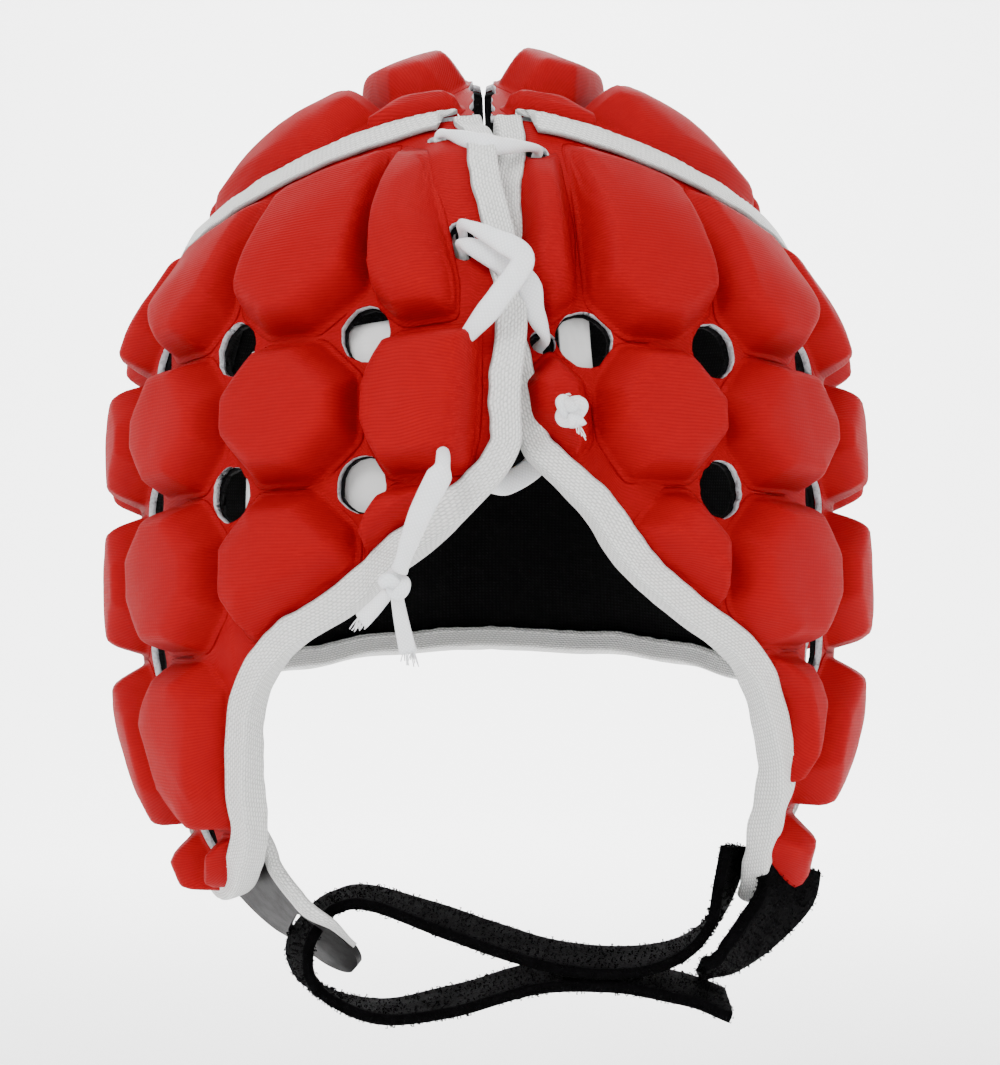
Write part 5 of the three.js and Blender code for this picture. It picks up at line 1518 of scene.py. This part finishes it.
def slot_ruffle(surface, a, b):
    """How far the cut edge of the slot strays, as a shift of the rise, so that it looks cut by hand."""
    near_edge = smoothstep(b, 0.8, 1.0) * (1 - smoothstep(a, 62, 74))
    jag = ripple(a * 1.1, 0, 41, 12) * 0.5 + ripple(a * 1.1, 0, 42, 6) * 0.16
    return near_edge * (jag - 0.1) / crown_rib(surface, a)


def make_crown_panel(name):
    surface = CROWNS[name]
    a, b = crown_grid(name, 190, 44)
    b = b + slot_ruffle(surface, a * (1.0 if name == "right" else 1.13), b)

    def crown_taper(a, b):
        return lerp(CROWN_KEPT, 1.0, smoothstep(b * crown_rib(surface, a), 4, 24))

    make_panel(f"crown_{name}_panel", surface, (a, b), 0, crown_holes(name),
               crown_pad_outlines(name, bpy.context.scene.cap_sizes), crown_taper)


def make_lining(piece, surface, a, b, holes):
    """A thin sheet under a panel, with its holes a little smaller."""
    holes = [(x, y, radius - 0.25, stretch, jag) for x, y, radius, stretch, jag in holes]
    build = Build()
    sheet_part(build, surface, a, b, 0.0, LINING_OUTER, holes, 0.06 * ripple(a * 1.4, b, 35, 19))
    build.piece(piece, "black_lining")


def make_linings():
    """The linings. The back one has no holes, because only its plain inside is seen in the photo."""
    for name in SIDES:
        grid = wall_grid(side_azimuths(96), lower_of(name), 72)
        make_lining(f"side_{name}_lining", WALLS[name], *grid, side_holes(name))
        make_lining(f"crown_{name}_lining", CROWNS[name], *crown_grid(name, 110, 30), crown_holes(name))
    make_lining("back_lining", BACK, *wall_grid(back_azimuths(96), back_lower, 52), ())


# ---- stage -----------------------------------------------------------------------------------------------

CAMERA_PLACE, CAMERA_PITCH, CAMERA_ROLL, CAMERA_LENS = (0.003, -0.530, -0.148), 94.334, -0.6, 70.24
FLOOR_HEIGHT, FLOOR_SIDES = -0.31, 72
SWEEP_START, SWEEP_BEND, SWEEP_HEIGHT = 2.0, 1.2, 3.4
# Lights, in metres and watts: name, place, aim, size, power.
LIGHTS = (
    ("key_light", (-0.55, -1.0, 0.75), (0, 0, -0.08), 0.6, 14),
    ("fill_light", (0.8, -0.8, 0.25), (0, 0, -0.1), 0.9, 4.5),
    ("top_light", (0.0, 0.15, 1.2), (0, 0, -0.05), 0.8, 8),
    ("back_light", (0.3, 1.1, 0.45), (0, 0, -0.1), 0.8, 5),
    ("backdrop_light", (0, 1.5, 1.5), (0, 2.6, -0.1), 1.4, 170),
)
SKY_STRENGTH = 0.42


def make_camera():
    data = bpy.data.cameras.new("camera")
    data.lens, data.sensor_width, data.sensor_fit = CAMERA_LENS, 36.0, "AUTO"
    data.clip_start, data.clip_end = 0.02, 30
    camera = linked("camera", data)
    pitch, roll = math.radians(CAMERA_PITCH), math.radians(CAMERA_ROLL)
    turn = Matrix.Rotation(pitch, 4, "X") @ Matrix.Rotation(roll, 4, "Z")
    camera.matrix_world = Matrix.Translation(CAMERA_PLACE) @ turn
    bpy.context.scene.camera = camera


def make_floor():
    """A pale paper sweep: a wide round floor that curves up far away on all sides."""
    bend = np.linspace(0.1, math.pi / 2, 14)
    rings = [0.5, 1.0, 1.5, SWEEP_START] + [SWEEP_START + SWEEP_BEND * math.sin(t) for t in bend]
    heights = [FLOOR_HEIGHT] * 4 + [FLOOR_HEIGHT + SWEEP_BEND * (1 - math.cos(t)) for t in bend]
    rings.append(SWEEP_START + SWEEP_BEND)
    heights.append(FLOOR_HEIGHT + SWEEP_HEIGHT)
    turn = np.linspace(0, 2 * np.pi, FLOOR_SIDES, endpoint=False)
    points = [(r * math.cos(t), r * math.sin(t), z) for r, z in zip(rings, heights) for t in turn]
    points.append((0, 0, FLOOR_HEIGHT))
    faces = [tuple(reversed(face)) for face in grid_faces(len(rings), FLOOR_SIDES, closed=True).tolist()]
    faces += [(k, (k + 1) % FLOOR_SIDES, len(points) - 1) for k in range(FLOOR_SIDES)]
    mesh = bpy.data.meshes.new("studio_sweep")
    mesh.from_pydata(points, [], faces)
    mesh.polygons.foreach_set("use_smooth", [True] * len(faces))
    mesh.materials.append(finish_of("studio_paper"))
    mesh.update()
    linked("studio_sweep", mesh)


def make_lights():
    """Soft round lights and an even white sky."""
    for name, place, aim, size, watts in LIGHTS:
        data = bpy.data.lights.new(name, "AREA")
        data.shape, data.size, data.energy = "DISK", size, watts
        turn = (Vector(aim) - Vector(place)).to_track_quat("-Z", "Y").to_matrix().to_4x4()
        linked(name, data).matrix_world = Matrix.Translation(place) @ turn
    world = bpy.data.worlds.new("studio")
    world.use_nodes = True
    sky = world.node_tree.nodes["Background"].inputs
    sky["Color"].default_value, sky["Strength"].default_value = (1, 1, 1, 1), SKY_STRENGTH
    bpy.context.scene.world = world


# ---- the add-on ------------------------------------------------------------------------------------------

def length_property(name, description, default):
    return bpy.props.FloatProperty(name=name, description=description, default=default * MM, unit="LENGTH",
                                   precision=5, min=0.0)


def colour_property(name, description, default):
    return bpy.props.FloatVectorProperty(name=name, description=description, default=default, size=3,
                                         subtype="COLOR", min=0.0, max=1.0)


class CAP_PG_sizes(bpy.types.PropertyGroup):
    """Sizes that a maker would change"""

    pad_rise: length_property("Pad Rise", "How far the foam pads stand proud of the web", 8.6)
    shoulder: length_property("Pad Shoulder", "Width of the sloped shoulder round each pad", 4.2)
    groove: length_property("Groove Width", "Gap between two pads at their feet", 2.2)
    corner_cut: length_property("Corner Cut", "How much of each pad's corner is cut off round a vent", 8.2)
    stitch_pitch: length_property("Stitch Pitch", "Distance from one stitch to the next", 2.6)
    thread_radius: length_property("Thread Radius", "Radius of the sewing thread", 0.15)
    pile_length: length_property("Pile Length", "Length of the loops on the strap", 0.72)


class CAP_PG_colours(bpy.types.PropertyGroup):
    """Colours of the finishes"""

    fabric: colour_property("Fabric", "Outer stretch fabric", (0.27, 0.0, 0.0022))
    lining: colour_property("Lining", "Knitted lining", (0.003, 0.003, 0.0033))
    tape: colour_property("Tape", "Woven binding and seam tape", (0.84, 0.84, 0.82))
    lace: colour_property("Lace", "Tubular elastic lace", (0.86, 0.86, 0.87))
    strap: colour_property("Strap", "Loop pile of the chin strap", (0.0012, 0.0012, 0.0014))
    tab: colour_property("Tab", "Flexible tab", (0.009, 0.008, 0.0085))
    label: colour_property("Label", "Satin label", (0.76, 0.77, 0.76))
    foam: colour_property("Cut Foam", "Raw cut edge of the foam", (0.56, 0.57, 0.6))
    floor: colour_property("Floor", "Studio paper", (0.9, 0.9, 0.9))


class CAP_OT_stage(bpy.types.Operator):
    """Add the camera, the pale paper sweep and the soft studio lights"""

    bl_idname, bl_label = "cap.make_stage", "Stage"

    def execute(self, context):
        make_camera()
        make_floor()
        make_lights()
        return {"FINISHED"}


class CAP_OT_lace(bpy.types.Operator):
    """Add the front lace with its two knots"""

    bl_idname, bl_label = "cap.make_lace", "Lace"

    def execute(self, context):
        make_lace()
        return {"FINISHED"}


class CAP_OT_panels(bpy.types.Operator):
    """Add the padded side, back and crown panels"""

    bl_idname, bl_label = "cap.make_panels", "Padded Panels"

    def execute(self, context):
        for name in SIDES:
            make_side_panel(name)
            make_crown_panel(name)
        make_back_panel()
        return {"FINISHED"}


class CAP_OT_linings(bpy.types.Operator):
    """Add the knitted linings inside the panels"""

    bl_idname, bl_label = "cap.make_linings", "Linings"

    def execute(self, context):
        make_linings()
        return {"FINISHED"}


class CAP_OT_bindings(bpy.types.Operator):
    """Add the folded tape along the free edges, with its stitches"""

    bl_idname, bl_label = "cap.make_bindings", "Edge Bindings"

    def execute(self, context):
        for name, side in SIDES.items():
            make_binding("edge_binding_" + name, WALLS[name], edge_path(name), -side["x"], 50 + side["x"])
        azimuths = np.linspace(BACK_SEAM + 1, 359 - BACK_SEAM, 230)
        make_binding("nape_binding", BACK, np.stack((azimuths, back_lower(azimuths)), -1), 1, 57)
        return {"FINISHED"}


class CAP_OT_tapes(bpy.types.Operator):
    """Add the stitched tapes over the crown and back seams"""

    bl_idname, bl_label = "cap.make_tapes", "Seam Tapes"

    def execute(self, context):
        for name in SIDES:
            make_crown_tape(name)
            make_back_tape(name)
        return {"FINISHED"}


class CAP_OT_labels(bpy.types.Operator):
    """Add the blank labels inside"""

    bl_idname, bl_label = "cap.make_labels", "Labels"

    def execute(self, context):
        for name in LABELS:
            make_label(name)
        return {"FINISHED"}


class CAP_OT_strap(bpy.types.Operator):
    """Add the chin strap and its pile patch, with their loops"""

    bl_idname, bl_label = "cap.make_strap", "Chin Strap"

    def execute(self, context):
        make_band("chin_strap", STRAP_ROWS, 260, STRAP_WIDTH, STRAP_THICK, 61, STRAP_LOOPS)
        make_band("strap_pile", PILE_ROWS, 60, PILE_WIDTH, PILE_THICK, 62, PILE_LOOPS)
        return {"FINISHED"}


class CAP_OT_tab(bpy.types.Operator):
    """Add the slotted tab with its white trim"""

    bl_idname, bl_label = "cap.make_tab", "Strap Tab"

    def execute(self, context):
        make_tab_plate()
        make_tab_trim()
        return {"FINISHED"}


OPERATORS = (CAP_OT_stage, CAP_OT_lace, CAP_OT_panels, CAP_OT_linings, CAP_OT_bindings, CAP_OT_tapes,
             CAP_OT_labels, CAP_OT_strap, CAP_OT_tab)


class CAP_PT_parts(bpy.types.Panel):
    """The cap's sizes, colours and pieces"""

    bl_label, bl_idname = "Scrum Cap", "CAP_PT_parts"
    bl_space_type, bl_region_type, bl_category = "VIEW_3D", "UI", "Scrum Cap"

    def draw(self, context):
        for group in (context.scene.cap_sizes, context.scene.cap_colours):
            for key in group.bl_rna.properties.keys():
                if key not in ("rna_type", "name"):
                    self.layout.prop(group, key)
        for operator in OPERATORS:
            self.layout.operator(operator.bl_idname)


CLASSES = (CAP_PG_sizes, CAP_PG_colours, *OPERATORS, CAP_PT_parts)


def register():
    for made in CLASSES:
        bpy.utils.register_class(made)
    bpy.types.Scene.cap_sizes = bpy.props.PointerProperty(type=CAP_PG_sizes)
    bpy.types.Scene.cap_colours = bpy.props.PointerProperty(type=CAP_PG_colours)


def unregister():
    del bpy.types.Scene.cap_colours
    del bpy.types.Scene.cap_sizes
    for made in reversed(CLASSES):
        bpy.utils.unregister_class(made)


def main():
    """Builds the whole cap and its stage."""
    register()
    bpy.ops.cap.make_stage()
    bpy.ops.cap.make_lace()
    bpy.ops.cap.make_panels()
    bpy.ops.cap.make_linings()
    bpy.ops.cap.make_bindings()
    bpy.ops.cap.make_tapes()
    bpy.ops.cap.make_labels()
    bpy.ops.cap.make_strap()
    bpy.ops.cap.make_tab()
    bpy.context.view_layer.update()


if __name__ == "__main__":
    main()
